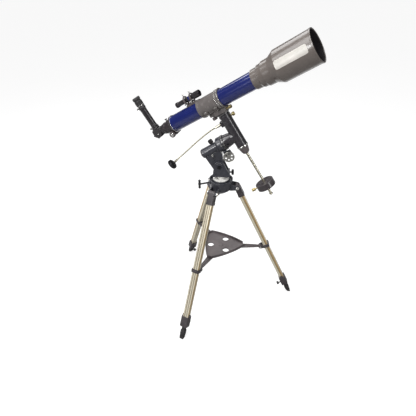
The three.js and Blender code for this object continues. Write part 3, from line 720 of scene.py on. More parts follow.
for number in (1, 2, 3):
    screw = standing(pin_of(f"leg_{number}_lock_turn"), axis_of(f"leg_{number}_lock_turn"), UP)
    stem = lathed([(0, 0), (3, 0), (3, 21), (4.6, 22), (4.6, 25), (0, 25)], 0.3)
    piece(f"leg_{number}_thumbscrew", fused(stem, fluted_knob(9, 24, 33, 8)), screw, f"leg_{number}_lock",
          black_plastic, [f"leg_{number}_lock_knob"])

# ------------------------------------------------------------------------------------------------
# Braces. Moulded arms from each collar in to the tray, channelled, with a rib along the middle and a
# bright pin through the collar's ears.

tray_plastic = moulded_plastic("tray_plastic", (0.082, 0.068, 0.070), (0.102, 0.086, 0.088), 0.32, 0.05, 0.1)
TRAY_CORNER = 118
brace_hinge = pin_of("leg_1_brace_fold") - tripod_axis
BRACE_HINGE = (brace_hinge.to_2d().length / MM, brace_hinge.z / MM)
brace_reach = BRACE_HINGE[0] - TRAY_CORNER + 16


def brace_arm():
    half = [(5, -7), (-16, -8), (-34, -10), (-brace_reach + 2, -14.5), (-brace_reach, -12)]
    outline = half + [(x, -y) for x, y in reversed(half)]
    inner = [(-8, -4.9), (-34, -7.6), (-brace_reach + 6, -11.6)]
    inner = inner + [(x, -y) for x, y in reversed(inner)]
    floor = plate(outline, -3.5, -0.6, 0.5)
    rim = plate(outline, -3.5, 3.2, 0.6, [inner])
    rib = plate([(-6, -1.3), (-6, 1.3), (-brace_reach + 3, 1.3), (-brace_reach + 3, -1.3)], -1, 2.2, 0.4)
    boss = upright(rod(6.5, -9.5, 9.5, 0.8))
    hole = upright(rod(3.3, -16, 16))
    return fused(floor, rim, rib, boss, less=[hole])


for number in (1, 2, 3):
    hinge = f"leg_{number}_brace_fold"
    outward = axis_of(hinge).cross(UP)
    place = standing(pin_of(hinge), UP, outward)
    piece(f"leg_{number}_brace_arm", brace_arm(), place, f"leg_{number}_spreader", tray_plastic,
          [f"leg_{number}_brace"])
    across = standing(pin_of(hinge), axis_of(hinge), UP)
    rivet = lathed([(0, -16.6), (4.6, -16.6), (4.8, -15.2), (3, -15.1), (3, 15.1), (4.8, 15.2), (4.6, 16.6),
                    (0, 16.6)], 0.4)
    piece(f"leg_{number}_brace_pin", rivet, across, f"leg_{number}", chromed)

# ------------------------------------------------------------------------------------------------
# Accessory tray. One moulding: a bowed triangle with a raised rim, three collared holes for spare
# eyepieces, and a boss in the middle for the screw that holds it down.

TRAY_TOP = 345
TRAY_SIDE = 79
tray_low = BRACE_HINGE[1] + 2.8
EYEPIECE_HOLES = [(52, turn) for turn in (60, 180, 300)]


def tray_outline(inset):
    def at(radius, degrees):
        angle = math.radians(degrees)
        return Vector(((radius - inset) * math.cos(angle), (radius - inset) * math.sin(angle)))

    points = []
    for corner in (0, 120, 240):
        a, b = at(TRAY_CORNER, corner + 6), at(TRAY_SIDE + 16, corner + 32)
        c, d = at(TRAY_SIDE + 16, corner + 88), at(TRAY_CORNER, corner + 114)
        for step in range(25):
            t = step / 24
            points.append(a * (1 - t) ** 3 + b * 3 * t * (1 - t) ** 2 + c * 3 * t * t * (1 - t) + d * t ** 3)
    return eased(points, 4, closed=True)


def at_hole(radius, turn):
    return radius * math.cos(math.radians(turn)), radius * math.sin(math.radians(turn))


hole_loops = [circle(16, *at_hole(*hole)) for hole in EYEPIECE_HOLES]
tray_floor = plate(tray_outline(0.6), tray_low, tray_low + 4, 0.7, hole_loops)
tray_rim = plate(tray_outline(0), tray_low, TRAY_TOP, 1.0, [tray_outline(3.6)])
collars = [shifted(ring(16, 18.4, 0, 6, 0.6),
                   moved(*at_hole(*hole), tray_low + 1)) for hole in EYEPIECE_HOLES]
boss = shifted(lathed([(0, 0), (14, 0), (14, 5.4), (12, 6), (11.4, 5), (0, 5)], 0.4), moved(z=tray_low))
piece("tray_moulding", fused(tray_floor, tray_rim, *collars, boss), tripod, "tray", tray_plastic,
      ["accessory_tray"])

# ------------------------------------------------------------------------------------------------
# Mount base. A white nylon washer on the tripod head carries a cast foot with two cheeks; the
# mount's head tilts between them on a blackened bolt. A latitude scale is printed beside the bolt.

BASE_FLOOR = 755
mount = standing(tripod_axis, UP, -axis_of("latitude_tilt").cross(UP))
bolt = pin_of("latitude_tilt") - tripod_axis
BOLT = (bolt.x / MM, bolt.z / MM)
white_nylon = moulded_plastic("white_nylon", (0.78, 0.77, 0.74), (0.70, 0.69, 0.66), 0.38, 0.03)

bearing = lathed([(0, HUB_TOP), (37, HUB_TOP), (37, HUB_TOP + 4.5), (17, HUB_TOP + 4.5),
                  (17, BASE_FLOOR - 0.3), (0, BASE_FLOOR - 0.3)], 0.8)
piece("azimuth_washer", bearing, mount, "mount_base", white_nylon, ["azimuth_bearing"])

cheek_outline = [(-38, BASE_FLOOR), (42, BASE_FLOOR), (40, BASE_FLOOR + 10)]
cheek_outline += [(BOLT[0] + 26 * math.cos(a), BOLT[1] + 26 * math.sin(a))
                  for a in (0.45 + (math.pi - 0.35) * step / 20 for step in range(21))]
cheeks = [shifted(upright(plate(cheek_outline, -4.5, 4.5, 1.2)), moved(y=20.5 * side)) for side in (-1, 1)]
seats = [shifted(lathed([(0, 0), (19, 0), (18.6, 2.9), (15.5, 2.9), (15, 2.3), (0, 2.3)], 0.3),
                 moved(BOLT[0], side * 24.6, BOLT[1]) @ turned_about("X", -90 * side)) for side in (-1, 1)]
base_plate = plate(box_outline(80, 50, 3), BASE_FLOOR, BASE_FLOOR + 9, 1.2)
toe = plate(box_outline(15, 50, 3), BASE_FLOOR, BASE_FLOOR + 22, 1.4)
spindle_hole = shifted(rod(4.2, -30, 30), moved(BOLT[0], 0, BOLT[1]) @ turned_about("X", 90))
screw_hole = shifted(rod(3.8, 0, 40), moved(20, 0, BASE_FLOOR + 15) @ turned_about("Y", 90))
foot = fused(shifted(base_plate, moved(x=2)), shifted(toe, moved(x=33.5)), *cheeks, *seats,
             less=[spindle_hole, screw_hole])
piece("mount_foot_casting", foot, mount, "mount_base", casting_enamel, ["azimuth_base"])

tilt = standing(pin_of("latitude_tilt"), axis_of("latitude_tilt"), UP)
black_steel = bright_metal("black_oxide_steel", (0.05, 0.05, 0.055), 0.25, 0.4)
piece("latitude_bolt_blackened", through_bolt(4, 27.6, 15.6, 4), tilt, "mount_base", black_steel,
      ["latitude_bolt"])

white_print = moulded_plastic("white_print", (0.74, 0.73, 0.70), (0.66, 0.65, 0.62), 0.45, 0.02)


def mark(length, width=0.5, proud=0.16):
    """One printed line along X."""
    return plate([(0, -width / 2), (length, -width / 2), (length, width / 2), (0, width / 2)], 0, proud, 0.03)


latitude_marks = []
for short, count, step in ((2.2, 19, 5), (4.0, 7, 15)):
    item = shifted(mark(short), moved(x=20.4 - short))
    latitude_marks.append(shifted(row_of(item, count, step, white_print), turned_about("Z", -45)))
face = tilt @ moved(z=25.02)
piece("latitude_scale", together(*latitude_marks), face, "mount_base", white_print)

# ------------------------------------------------------------------------------------------------
# Latitude screw. A steel screw through the foot's toe that bears on the mount's head and sets its
# height, with a bar across its end.

turned_steel = bright_metal("turned_steel", (0.40, 0.38, 0.33), 0.20, 0.34, (1, 1, 12), 0.02)
thrust = standing(pin_of("latitude_screw_turn"), axis_of("latitude_screw_turn"), UP)


def threaded(radius, low, high, pitch=1.25, depth=0.45):
    """A rod with the rings of a thread, along Z."""
    count = int((high - low) / pitch)
    points = [(0, low)]
    for turn in range(count):
        points += [(radius - depth, low + turn * pitch), (radius, low + (turn + 0.5) * pitch)]
    return lathed([*points, (radius - depth, high), (0, high)], segments=32)


grip = wing_screw(3.5, 26, 26)
piece("latitude_thumbscrew", fused(grip, threaded(3.6, 1, 26)), thrust, "latitude_drive", black_steel,
      ["latitude_screw"])

# ------------------------------------------------------------------------------------------------
# Polar head. A cast barrel that the polar shaft turns in, wider at the front where it hides the worm
# gear, with a lug down to the latitude bolt and a plastic cap over its rear end.

polar_axis = axis_of("right_ascension")
crossing = pin_of("right_ascension")
down_side = Vector((0, 1, 0)).cross(polar_axis)
polar = standing(crossing, polar_axis, down_side)
to_polar = polar.inverted()
LATITUDE_PIVOT = to_polar @ pin_of("latitude_tilt")
POLAR_FRONT = -69

barrel = lathed([(10.3, -174), (19, -174), (22.5, -171), (22.5, -164), (21.6, -163), (21.6, -108),
                 (22.5, -106), (22.5, -100), (32.6, -92), (34, -90.5), (34, -73), (33, -72), (33, -70.5),
                 (32, POLAR_FRONT), (10.3, POLAR_FRONT)], 0.9, closed=True)
lug_outline = [(15, -172), (15, -96), (44, -98)]
lug_outline += [(LATITUDE_PIVOT.x + 20 * math.cos(a), LATITUDE_PIVOT.z + 20 * math.sin(a))
                for a in (0.7 - 1.4 * step / 12 for step in range(13))]
lug_outline += [(104, -162), (102, -168), (96, -172)]
lug = upright(plate(lug_outline, -15.5, 15.5, 2.0))
worm_outline = [(28, -86), (50, -86), (58, -78), (58, -56), (38, -56), (38, -70.5), (28, -70.5)]
worm_case = shifted(plate(eased(worm_outline, 2.5, closed=True), 8, 30, 1.2), turned_about("X", 90))
bushing = shifted(lathed([(4.4, 0), (7.6, 0), (7.2, 2.6), (4.4, 2.6)], 0.4, closed=True),
                  moved(48, -29.8, -66) @ turned_about("X", 90))
clutch_boss = shifted(rod(8.5, 0, 3.6, 0.6, top=7.6), moved(-20.5, 0, -113) @ turned_about("Y", -90))
bore = rod(10.3, -190, POLAR_FRONT + 1)
pin_hole = shifted(rod(4.3, -40, 40), moved(*LATITUDE_PIVOT) @ turned_about("X", 90))
worm_hole = shifted(rod(4.3, 6, 40), moved(48, 0, -66) @ turned_about("X", 90))
clutch_hole = shifted(rod(4.3, 12, 30), moved(0, 0, -113) @ turned_about("Y", -90))
GRUB_PLACES = [turned_about("Z", turn) @ moved(z=-82) @ turned_about("Y", 90) for turn in (-62, 118, 200)]
grub_recesses = [shifted(rod(3.4, 31, 40), place) for place in GRUB_PLACES]
polar_casting = fused(barrel, lug, worm_case, bushing, clutch_boss,
                      less=[bore, pin_hole, worm_hole, clutch_hole, *grub_recesses])
piece("polar_head_casting", polar_casting, polar, "polar_body", casting_enamel, ["polar_housing"])

grub = fused(rod(3.0, 0, 3, 0.3), less=[plate(hexagon(2.6), 1.6, 4, 0.05)])
grubs = [shifted(grub.copy(), place @ moved(z=29.3)) for place in GRUB_PLACES]
piece("gear_case_grub_screws", together(*grubs), polar, "polar_body", black_steel)
stop_screw = shifted(fused(lathed([(0, 15), (4.6, 15), (4.6, 24), (3.6, 26.6), (0, 27)], 0.5),
                           hex_head(11, 15, 18.6)), moved(22, 0, -137) @ turned_about("X", 90))
piece("polar_stop_screw", stop_screw, polar, "polar_body", chromed)

cap = lathed([(0, -183), (8, -183), (10.5, -180.6), (18.6, -178.2), (20, -176.6), (20, -174.3), (0, -174.3)],
             0.8)
piece("polar_cap", cap, polar, "polar_body", tray_plastic, ["polar_end_cap"])

shaft_finish = Finish("plain_steel")
shaft_place = shaft_finish.node("ShaderNodeTexCoord", output=3)
shaft_cloud = shaft_finish.speckle(shaft_place, 90)
shaft_finish.surface(
    Base_Color=shaft_finish.between(shaft_cloud, (0.5, 0.5, 0.5, 1), (0.4, 0.4, 0.39, 1)),
    Metallic=1.0,
    Roughness=0.3,
)
shaft = frame["nodes"]["polar_shaft"]
shaft.data.materials.clear()
shaft.data.materials.append(shaft_finish.material)

# ------------------------------------------------------------------------------------------------
# Right ascension clutch. A black moulded knob with five lobes on a steel stud that grips the shaft.

def lobed_knob(stem, length, radius, thick, lobes=5):
    """A knob with lobes, on a stem along Z, with a dished face and a domed nut cover."""
    outline = []
    for index in range(100):
        angle = 2 * math.pi * index / 100
        reach = radius * (0.89 + 0.11 * math.cos(lobes * angle))
        outline.append((reach * math.cos(angle), reach * math.sin(angle)))
    top = length + thick
    dish = lathed([(radius * 0.3, top - 1.4), (radius * 0.62, top - 1.4), (radius * 0.7, top + 1),
                   (radius * 0.22, top + 1)], 0.3, closed=True)
    skirt = rod(radius * 0.5, length - 1.5, length + 1, 0.4, top=radius * 0.62)
    stud = rod(stem, 0, length, 0.3)
    return fused(stud, skirt, plate(outline, length, top, 1.6), less=[dish])


def joint_place(joint):
    return standing(pin_of(joint), axis_of(joint), UP if abs(axis_of(joint).z) < 0.9 else Vector((1, 0, 0)))


piece("polar_clutch_knob", lobed_knob(4, 14, 11, 16), joint_place("ra_clutch_turn"), "ra_clutch",
      black_plastic, ["ra_clutch_knob"])

# ------------------------------------------------------------------------------------------------
# Right ascension hand wheel. A chromed wheel on the worm's shaft, with six round holes, a rolled rim
# knurled for the fingers, and a screw in its middle.

def hand_wheel(length, radius):
    holes = [circle(radius * 0.17, radius * 0.58 * math.cos(a), radius * 0.58 * math.sin(a), 24)
             for a in (math.pi / 3 * step for step in range(6))]
    web = plate(circle(radius - 1.5, count=96), length + 2, length + 6, 0.6, holes)
    rim = ring(radius - 3.6, radius - 0.5, length, length + 8, 1.2)
    hub = lathed([(0, 0), (4, 0), (4, length - 3), (6, length - 1), (6, length + 7.4), (0, length + 7.4)],
                 0.7)
    return fused(web, rim, hub)


wheel_steel = bright_metal("nickel_plated", (0.46, 0.45, 0.42), 0.20, 0.32)
wheel_place = joint_place("ra_slow_motion")


def knurl(radius, low, high, count, root, crest, edge, material):
    """Ribs all round a rim. Root and crest are each a height off the rim and a half width."""
    half = [(root[0], -root[1]), (crest[0], -crest[1]), crest, root]
    return row_of(shifted(plate(half, low, high, edge), moved(x=radius)), count, 360 / count, material)


rim_knurl = knurl(24.5, 41.2, 46.8, 72, (-0.25, 0.45), (0.5, 0.25), 0.1, wheel_steel)
piece("hand_wheel", together(hand_wheel(40, 25), rim_knurl), wheel_place, "ra_drive", wheel_steel,
      ["ra_worm_wheel"])

# ------------------------------------------------------------------------------------------------
# Right ascension circle. A turned ring between the gear case and the declination head, painted dark,
# with white lines every twenty minutes of time and the hours in figures. It turns with the head.

head = standing(crossing, polar_axis, axis_of("declination"))
CIRCLE_RADIUS = 35
dark_paint = cast_enamel("circle_paint", (0.022, 0.021, 0.024), (0.030, 0.029, 0.032), 0.24)
ring_blank = lathed([(10.3, -68.7), (34, -68.7), (CIRCLE_RADIUS, -67.6), (CIRCLE_RADIUS, -59.4), (34, -58.3),
                     (10.3, -58.3)], 0.4, closed=True, segments=144)
piece("hour_circle", ring_blank, head, "declination_head", dark_paint, ["ra_setting_circle"])


def line_on_rim(length, radius, start, width=0.5):
    """One painted line along Z on the rim of a disc, where X meets it."""
    return shifted(mark(length, width), moved(x=radius + 0.1, z=start) @ turned_about("Y", -90))


def figure(text, size, turn, radius, height, on_face=False):
    """A dial number on a rim, or on the face of a disc, reading round it."""
    curve = bpy.data.curves.new("figure", "FONT")
    curve.body = text
    curve.size = size
    curve.align_x = "CENTER"
    curve.align_y = "CENTER"
    curve.extrude = 0.07
    curve.resolution_u = 3
    mesh = plain_mesh_of(bpy.data.objects.new("figure", curve))
    angle = math.radians(turn)
    outward = Vector((math.cos(angle), math.sin(angle), 0))
    round_it = UP.cross(outward)
    axes = (-round_it, outward, UP) if on_face else (round_it, UP, outward)
    place = Matrix(axes).transposed().to_4x4()
    return shifted(mesh, Matrix.Translation(outward * radius + UP * height) @ place)


hour_lines = [row_of(line_on_rim(2.0, CIRCLE_RADIUS, -61.8, 0.45), 72, 5, white_print),
              row_of(line_on_rim(3.0, CIRCLE_RADIUS, -62.8, 0.7), 24, 15, white_print)]
hours = [figure(str(hour), 3.6, 15 * hour, CIRCLE_RADIUS, -65.2) for hour in range(0, 24, 2)]
piece("hour_circle_print", together(*hour_lines, *hours), head, "declination_head", white_print)

# A bright pointer is screwed to the gear case and reads the circle.
pointer = plate([(-2.6, 0), (2.6, 0), (2.6, 5), (0, 11), (-2.6, 5)], 0, 1.0, 0.2)
pointer_screw = shifted(lathed([(0, 0.6), (1.6, 0.6), (1.5, 1.6), (0, 1.8)], 0.2), moved(y=2.4))
stand = polar @ turned_about("Z", -100) @ moved(34.0, 0, -78) @ Matrix(
    ((0, 0, 1, 0), (-1, 0, 0, 0), (0, 1, 0, 0), (0, 0, 0, 1)))
piece("hour_pointer", fused(pointer, pointer_screw), stand, "polar_body", chromed)

# ------------------------------------------------------------------------------------------------
# Declination head. One casting: a drum over the polar shaft and a long barrel across it, enamelled
# dark and glossy. A turned bright ring and a moulded cone close the end that holds the weight's bar.

DEC_RADIUS = 25
ALONG_X = turned_about("Y", 90)

drum = lathed([(10.3, -58), (31, -58), (31, -52), (29, -36), (25, -22), (24, 0), (10.3, 0)], 1.4, closed=True)
dec_barrel = shifted(lathed([(11.3, -112), (24, -112), (DEC_RADIUS, -111), (DEC_RADIUS, 48.5), (24, 50),
                             (6.3, 50), (6.3, -20), (11.3, -40)], 0.8, closed=True), ALONG_X)
flange = shifted(ring(20, 26.4, -104, -98, 1.0), ALONG_X)
worm_box = shifted(plate(box_outline(26, 24, 3.5), -34, -6, 1.6), moved(x=-75))
worm_nut = shifted(lathed([(3.9, -37), (7, -37), (7.6, -34), (3.9, -34)], 0.4, closed=True), moved(x=-75))
stud_boss = shifted(lathed([(3.9, 20), (7.5, 20), (6.6, 27), (3.9, 27)], 0.6, closed=True), moved(x=-90))
DRUM_SCREW = turned_about("Z", -72) @ moved(z=-46) @ ALONG_X
recess = shifted(rod(5.2, 26, 40, 0.4), DRUM_SCREW)
core = rod(10.3, -70, -30)
worm_bore = shifted(rod(3.9, -40, -23), moved(x=-75))
stud_bore = shifted(rod(3.8, 16, 40), moved(x=-90))
dec_casting = fused(drum, dec_barrel, flange, worm_box, worm_nut, stud_boss,
                    less=[core, worm_bore, stud_bore, recess])
glossy_enamel = cast_enamel("glossy_enamel", (0.024, 0.022, 0.026), (0.036, 0.033, 0.038), 0.20)
piece("declination_casting", dec_casting, head, "declination_head", glossy_enamel, ["dec_housing"])

bright_ring = shifted(lathed([(6.3, 50.2), (26.2, 50.2), (26.5, 51), (26.5, 55), (25.6, 56), (6.3, 56)], 0.4,
                             closed=True), ALONG_X)
piece("declination_ring", bright_ring, head, "declination_head", chromed)
cone = shifted(lathed([(6.3, 56), (24.6, 56), (23.2, 60), (18, 82), (15, 88), (9, 92), (6.3, 92)], 1.6,
                      closed=True), ALONG_X)
piece("declination_cone", cone, head, "declination_head", tray_plastic)
recess_screw = fused(rod(4.4, 22, 27.6, 0.5), less=[plate(hexagon(4.2), 25, 30, 0.05)])
piece("drum_screw", shifted(recess_screw, DRUM_SCREW), head, "declination_head", black_steel)

# ------------------------------------------------------------------------------------------------
# Counterweight. An enamelled iron disc slides on a ground steel bar and is held by a bronze screw;
# a washer and a screw at the bar's end stop it from falling off.

WEIGHT_RADIUS = 43.5
WEIGHT_START = 251
WEIGHT_END = 280
BAR_END = 326

bar = lathed([(0, 62), (6, 62), (6, BAR_END - 8.4), (5.4, BAR_END - 8), (0, BAR_END - 8)], 0.3)
stop = rod(9, BAR_END - 8, BAR_END - 5.4, 0.5)
end_screw = fused(lathed([(0, BAR_END - 6), (5, BAR_END - 6), (5, BAR_END - 1.2), (4, BAR_END), (0, BAR_END)],
                         0.3), less=[plate(hexagon(4), BAR_END - 3, BAR_END + 2, 0.05)])
ground_steel = bright_metal("ground_steel", (0.56, 0.53, 0.43), 0.22, 0.32, (1, 1, 0.004), 0.0)
bar_place = head @ ALONG_X
piece("weight_bar", fused(bar, stop, end_screw), bar_place, "declination_head", ground_steel,
      ["counterweight_bar"])

iron_enamel = cast_enamel("iron_enamel", (0.034, 0.028, 0.031), (0.050, 0.043, 0.046), 0.26)
disc = lathed([(6.4, WEIGHT_START), (16, WEIGHT_START), (17, WEIGHT_START + 1), (38, WEIGHT_START + 1),
               (39, WEIGHT_START), (WEIGHT_RADIUS, WEIGHT_START), (WEIGHT_RADIUS, WEIGHT_END),
               (39, WEIGHT_END), (38, WEIGHT_END - 1), (17, WEIGHT_END - 1), (16, WEIGHT_END),
               (6.4, WEIGHT_END)], 1.0, closed=True, segments=128)
lock = standing(pin_of("weight_lock_turn"), axis_of("weight_lock_turn"), axis_of("declination"))
screw_way = shifted(rod(3.4, 0, 50), bar_place.inverted() @ lock @ moved(z=-1))
piece("weight_disc", fused(disc, less=[screw_way]), bar_place, "weight", iron_enamel, ["counterweight"])

bronze = bright_metal("aged_bronze", (0.42, 0.34, 0.17), 0.26, 0.42, (1, 1, 8), 0.02)
screw_head = lathed([(0, 42), (6, 42), (7, 43), (7, 58.6), (6, 60), (0, 60)], 0.8)
neck = rod(3, 0, 42, 0.3)
screw_knurl = knurl(6.95, 44.4, 57.4, 28, (-0.3, 0.4), (0.35, 0.2), 0.1, bronze)
piece("weight_screw", together(fused(neck, screw_head), screw_knurl), lock, "weight_lock",
      bronze, ["counterweight_screw"])

# ------------------------------------------------------------------------------------------------
# Declination clutch. A bronze knob on a stud beside the barrel that grips the declination shaft.

piece("declination_clutch_knob", lobed_knob(3.5, 14, 9, 12), joint_place("dec_clutch_turn"), "dec_clutch",
      bronze, ["dec_clutch_knob"])

# ------------------------------------------------------------------------------------------------
# Declination drive. A wound steel wire shaft carries the turn of a blackened knob up to the worm. A
# ferrule is crimped on each end.

FLEX_ROUTE = [(-75, 0, -32.5), (-75, 0, -52), (-75, -1, -80), (-66, -4, -150), (-50, -7, -230),
              (-38, -8, -290), (-34, -8, -308)]


def route_curve(points, radius=0.0):
    curve = bpy.data.curves.new("route", "CURVE")
    curve.dimensions = "3D"
    curve.resolution_u = 16
    curve.bevel_depth = radius
    curve.bevel_resolution = 3
    curve.use_fill_caps = True
    spline = curve.splines.new("BEZIER")
    spline.bezier_points.add(len(points) - 1)
    for knot, point in zip(spline.bezier_points, points):
        knot.co = point
        knot.handle_left_type = knot.handle_right_type = "AUTO"
    return curve


def wound(points, radius, wire, material):
    """Turns of wire, side by side along a route."""
    growth = Growth("along_a_path", {"Path": "Geometry", "Ring": "Object", "Pitch": "Float"})
    node, given = growth.node, growth.given
    spaced = node("GeometryNodeResampleCurve", [("Curve", given["Path"]), ("Length", given["Pitch"])],
                  mode="LENGTH")
    tangent = node("GeometryNodeInputTangent")
    square = node("FunctionNodeAlignRotationToVector", [("Vector", tangent.outputs[0])], axis="Z")
    item = node("GeometryNodeObjectInfo", [("Object", given["Ring"])])
    copies = [("Points", spaced.outputs[0]), ("Instance", item.outputs["Geometry"]),
              ("Rotation", square.outputs[0])]
    growth.close(node("GeometryNodeInstanceOnPoints", copies))
    turn = [(radius - wire + wire * math.cos(a), wire * 1.05 * math.sin(a))
            for a in (math.pi / 2 * step for step in range(4))]
    strand = bpy.data.objects.new("turn", lathed(turn, closed=True, segments=14))
    bpy.context.scene.collection.objects.link(strand)
    winding = bpy.data.objects.new("winding", route_curve(points))
    mesh = growth.grown(winding, {"Ring": strand, "Pitch": wire * 2.0, "Finish": material})
    bpy.data.objects.remove(strand)
    return mesh


wound_wire = bright_metal("wound_wire", (0.56, 0.53, 0.42), 0.20, 0.34, scratch=0.01)
core_wire = plain_mesh_of(bpy.data.objects.new("core", route_curve(FLEX_ROUTE, 2.6)))
winding = wound(FLEX_ROUTE[1:], 3.2, 0.65, wound_wire)
ferrule = shifted(lathed([(0, -63), (4.2, -63), (5, -62), (5, -54), (6, -52), (6, -36), (5.2, -34.8),
                          (3.5, -34.5), (3.5, -24), (0, -24)], 0.5), moved(x=-75))
knob_end = standing(pin_of("dec_slow_motion"), axis_of("dec_slow_motion"), UP)
far_ferrule = shifted(lathed([(0, -20), (4, -20), (4.8, -19), (4.8, -1.2), (4, -0.4), (0, -0.4)], 0.5),
                      head.inverted() @ knob_end)
piece("flexible_drive", together(core_wire, winding, ferrule, far_ferrule), head, "declination_head",
      wound_wire, ["dec_flex_shaft"])

drive_knob = lathed([(0, 0.3), (5, 0.3), (5, 7.6), (7, 8.4), (20, 10), (23, 12.6), (23, 21.4), (21.4, 23.4),
                     (16, 23.8), (15, 22.6), (6, 22.4), (5.4, 23.8), (0, 24)], 0.8)
drive_knurl = knurl(22.7, 12.9, 21.2, 60, (-0.5, 0.6), (0.45, 0.3), 0.15, black_steel)
piece("declination_drive_knob", together(drive_knob, drive_knurl), knob_end, "dec_drive",
      black_steel, ["dec_slow_motion_knob"])

# ------------------------------------------------------------------------------------------------
# Declination circle. A dark disc under the saddle, with a white line every five degrees on its rim
# and the tens of degrees on its face. It turns with the tube.

TUBE_OFFSET = 173
tube = standing(crossing - axis_of("declination") * TUBE_OFFSET * MM, axis_of("tube_slide"),
                axis_of("declination"))
DISC_START = TUBE_OFFSET - 116.15
disc_place = tube @ moved(x=DISC_START) @ ALONG_X
dec_disc = ring(11.3, 30, 0, 4, 0.5)
piece("declination_circle", dec_disc, disc_place, "saddle", dark_paint, ["dec_setting_circle"])
degree_lines = [row_of(line_on_rim(1.8, 30, 1.9, 0.45), 72, 5, white_print),
                row_of(line_on_rim(2.8, 30, 0.9, 0.6), 36, 10, white_print)]
tens = [figure(str(90 - abs(90 - abs(180 - turn))), 2.6, turn, 27.6, 4.03, on_face=True)
        for turn in range(0, 360, 30)]
piece("declination_circle_print", together(*degree_lines, *tens), disc_place, "saddle", white_print)

# ------------------------------------------------------------------------------------------------
# Saddle. A cast sleeve in two halves, enamelled grey, hinged on one side and drawn together by a knob,
# on a foot that is keyed to the declination shaft. Bright rings are let into its front end.

TUBE_RADIUS = 37
BORE = TUBE_RADIUS + 0.3

sleeve = lathed([(BORE, -80), (42, -80), (43, -79), (43, -71), (42, -70), (40.2, -69), (40.2, 15), (42, 16),
                 (43, 17), (43, 23), (42, 24), (40.6, 25), (40.6, 28), (42, 29), (43, 30), (43, 35), (42, 36),
                 (BORE, 36)], 0.6, closed=True, segments=128)
saddle_foot = plate(box_outline(40, 64, 5), 36, 56.5, 2.0)
LAID_OVER = Matrix(((0, 0, 1, 0), (1, 0, 0, 0), (0, 1, 0, 0), (0, 0, 0, 1)))
saddle_foot = shifted(saddle_foot, moved(z=-2) @ LAID_OVER)
gusset = upright(plate([(36, -60), (54, -34), (54, 30), (36, 30)], -6, 6, 1.5))
saddle_shaft = shifted(rod(11, 50, 84, 0.6), ALONG_X)
ear = shifted(plate(box_outline(28, 22, 4), 34, 52, 1.6), moved(z=-47) @ LAID_OVER)
knuckles = [shifted(rod(4.2, low, high, 0.6), moved(-6, 43.2, 0))
            for low, high in ((-66, -44), (-42, -10), (-8, 12))]
hinge_leaf = shifted(plate(box_outline(16, 4, 1), -66, 12, 0.6), moved(-6, 41.2, 0))
OPENING = turned_about("Z", 32)
split_lugs = [shifted(plate(box_outline(15, 10, 2), start, start + 16, 1.2), OPENING @ moved(0, -43.5, 0))
              for start in (-58, -6)]
passage = lathed([(0, -100), (BORE, -100), (BORE, 60), (0, 60)], segments=128)
knob_way = shifted(rod(3.8, 40, 60), moved(z=-47) @ ALONG_X)
split = shifted(plate([(-0.5, -60), (0.5, -60), (0.5, -38), (-0.5, -38)], -90, 60, 0.1), OPENING)
saddle_casting = fused(sleeve, saddle_foot, gusset, saddle_shaft, ear, *knuckles, hinge_leaf, *split_lugs,
                       less=[passage, knob_way, split])
saddle_enamel = cast_enamel("saddle_enamel", (0.112, 0.100, 0.097), (0.126, 0.113, 0.109), 0.20)
piece("saddle_casting", saddle_casting, tube, "saddle", saddle_enamel, ["tube_clamp"])

lug_bolts = []
for start in (-50, 2):
    cross = OPENING @ moved(0, -43.5, start) @ ALONG_X
    head_shape = shifted(hex_head(7, 7.6, 11.4), cross)
    nut = shifted(hex_head(7, 7.6, 11.0), cross @ turned_about("X", 180))
    lug_bolts.append(fused(shifted(rod(2, -12.5, 8, 0.2), cross), head_shape, nut))
piece("saddle_lug_bolts", together(*lug_bolts), tube, "saddle", chromed)
hinge_pin = shifted(lathed([(0, -69), (3, -69), (3, -67), (1.6, -66.6), (1.6, 13), (3, 13.4), (3, 15),
                            (0, 15)], 0.4), moved(-6, 43.2, 0))
piece("saddle_hinge_pin", hinge_pin, tube, "saddle", chromed)

edge_rings = [ring(42.6, 43.7, place - 1.1, place + 1.1, 0.4, segments=128) for place in (20, 33)]
piece("saddle_bright_rings", together(*edge_rings), tube, "saddle", chromed)

foot_bolt = fused(rod(3.4, 28, 44, 0.3), threaded(3.6, 30, 43),
                  lathed([(0, 43), (7.4, 43), (8, 45), (8, 54), (6.6, 57), (0, 57)], 1.0))
piece("saddle_stay_bolt", shifted(foot_bolt, moved(46, -11, 0)), tube, "saddle", bronze)

piece("saddle_clamp_knob", lobed_knob(3.5, 14, 12, 12, lobes=6), joint_place("clamp_knob_turn"), "clamp_lock",
      tray_plastic, ["tube_clamp_knob"])

# ------------------------------------------------------------------------------------------------
# Main tube. Rolled aluminium, sprayed deep blue under a clear gloss lacquer, with a rolled bead at its
# rear end and three countersunk screws that hold the focuser's flange.

TUBE_REAR = -240
TUBE_FRONT = 196


def blue_lacquer():
    """Deep blue paint under clear lacquer: fine flake, a faint orange peel and hairline scuffs."""
    finish = Finish("blue_lacquer")
    place = finish.own_place()
    flake = finish.speckle(place, 2600, 1)
    peel = finish.speckle(place, 420, 2)
    scuffs = finish.spread(finish.speckle(finish.own_place((1, 1, 0.04)), 300, 4), 0, 1, 0.62, 0.72)
    return finish.surface(
        Base_Color=finish.between(flake * finish.spread(finish.speckle(place, 12), 0.4, 0.8),
                                  (0.004, 0.009, 0.095, 1), (0.008, 0.020, 0.17, 1)),
        Metallic=0.15,
        Roughness=scuffs * 0.10 + 0.22,
        Coat_Weight=1.0,
        Coat_Roughness=0.03,
        Normal=finish.bump(peel, 0.02),
    )


blue = blue_lacquer()
rolled = lathed([(35, TUBE_REAR), (36.6, TUBE_REAR), (37, TUBE_REAR + 0.6), (37, TUBE_FRONT),
                 (35, TUBE_FRONT)], 0.3, closed=True, segments=160)
piece("main_tube_lacquered", rolled, tube, "optical_tube", blue, ["main_tube"])

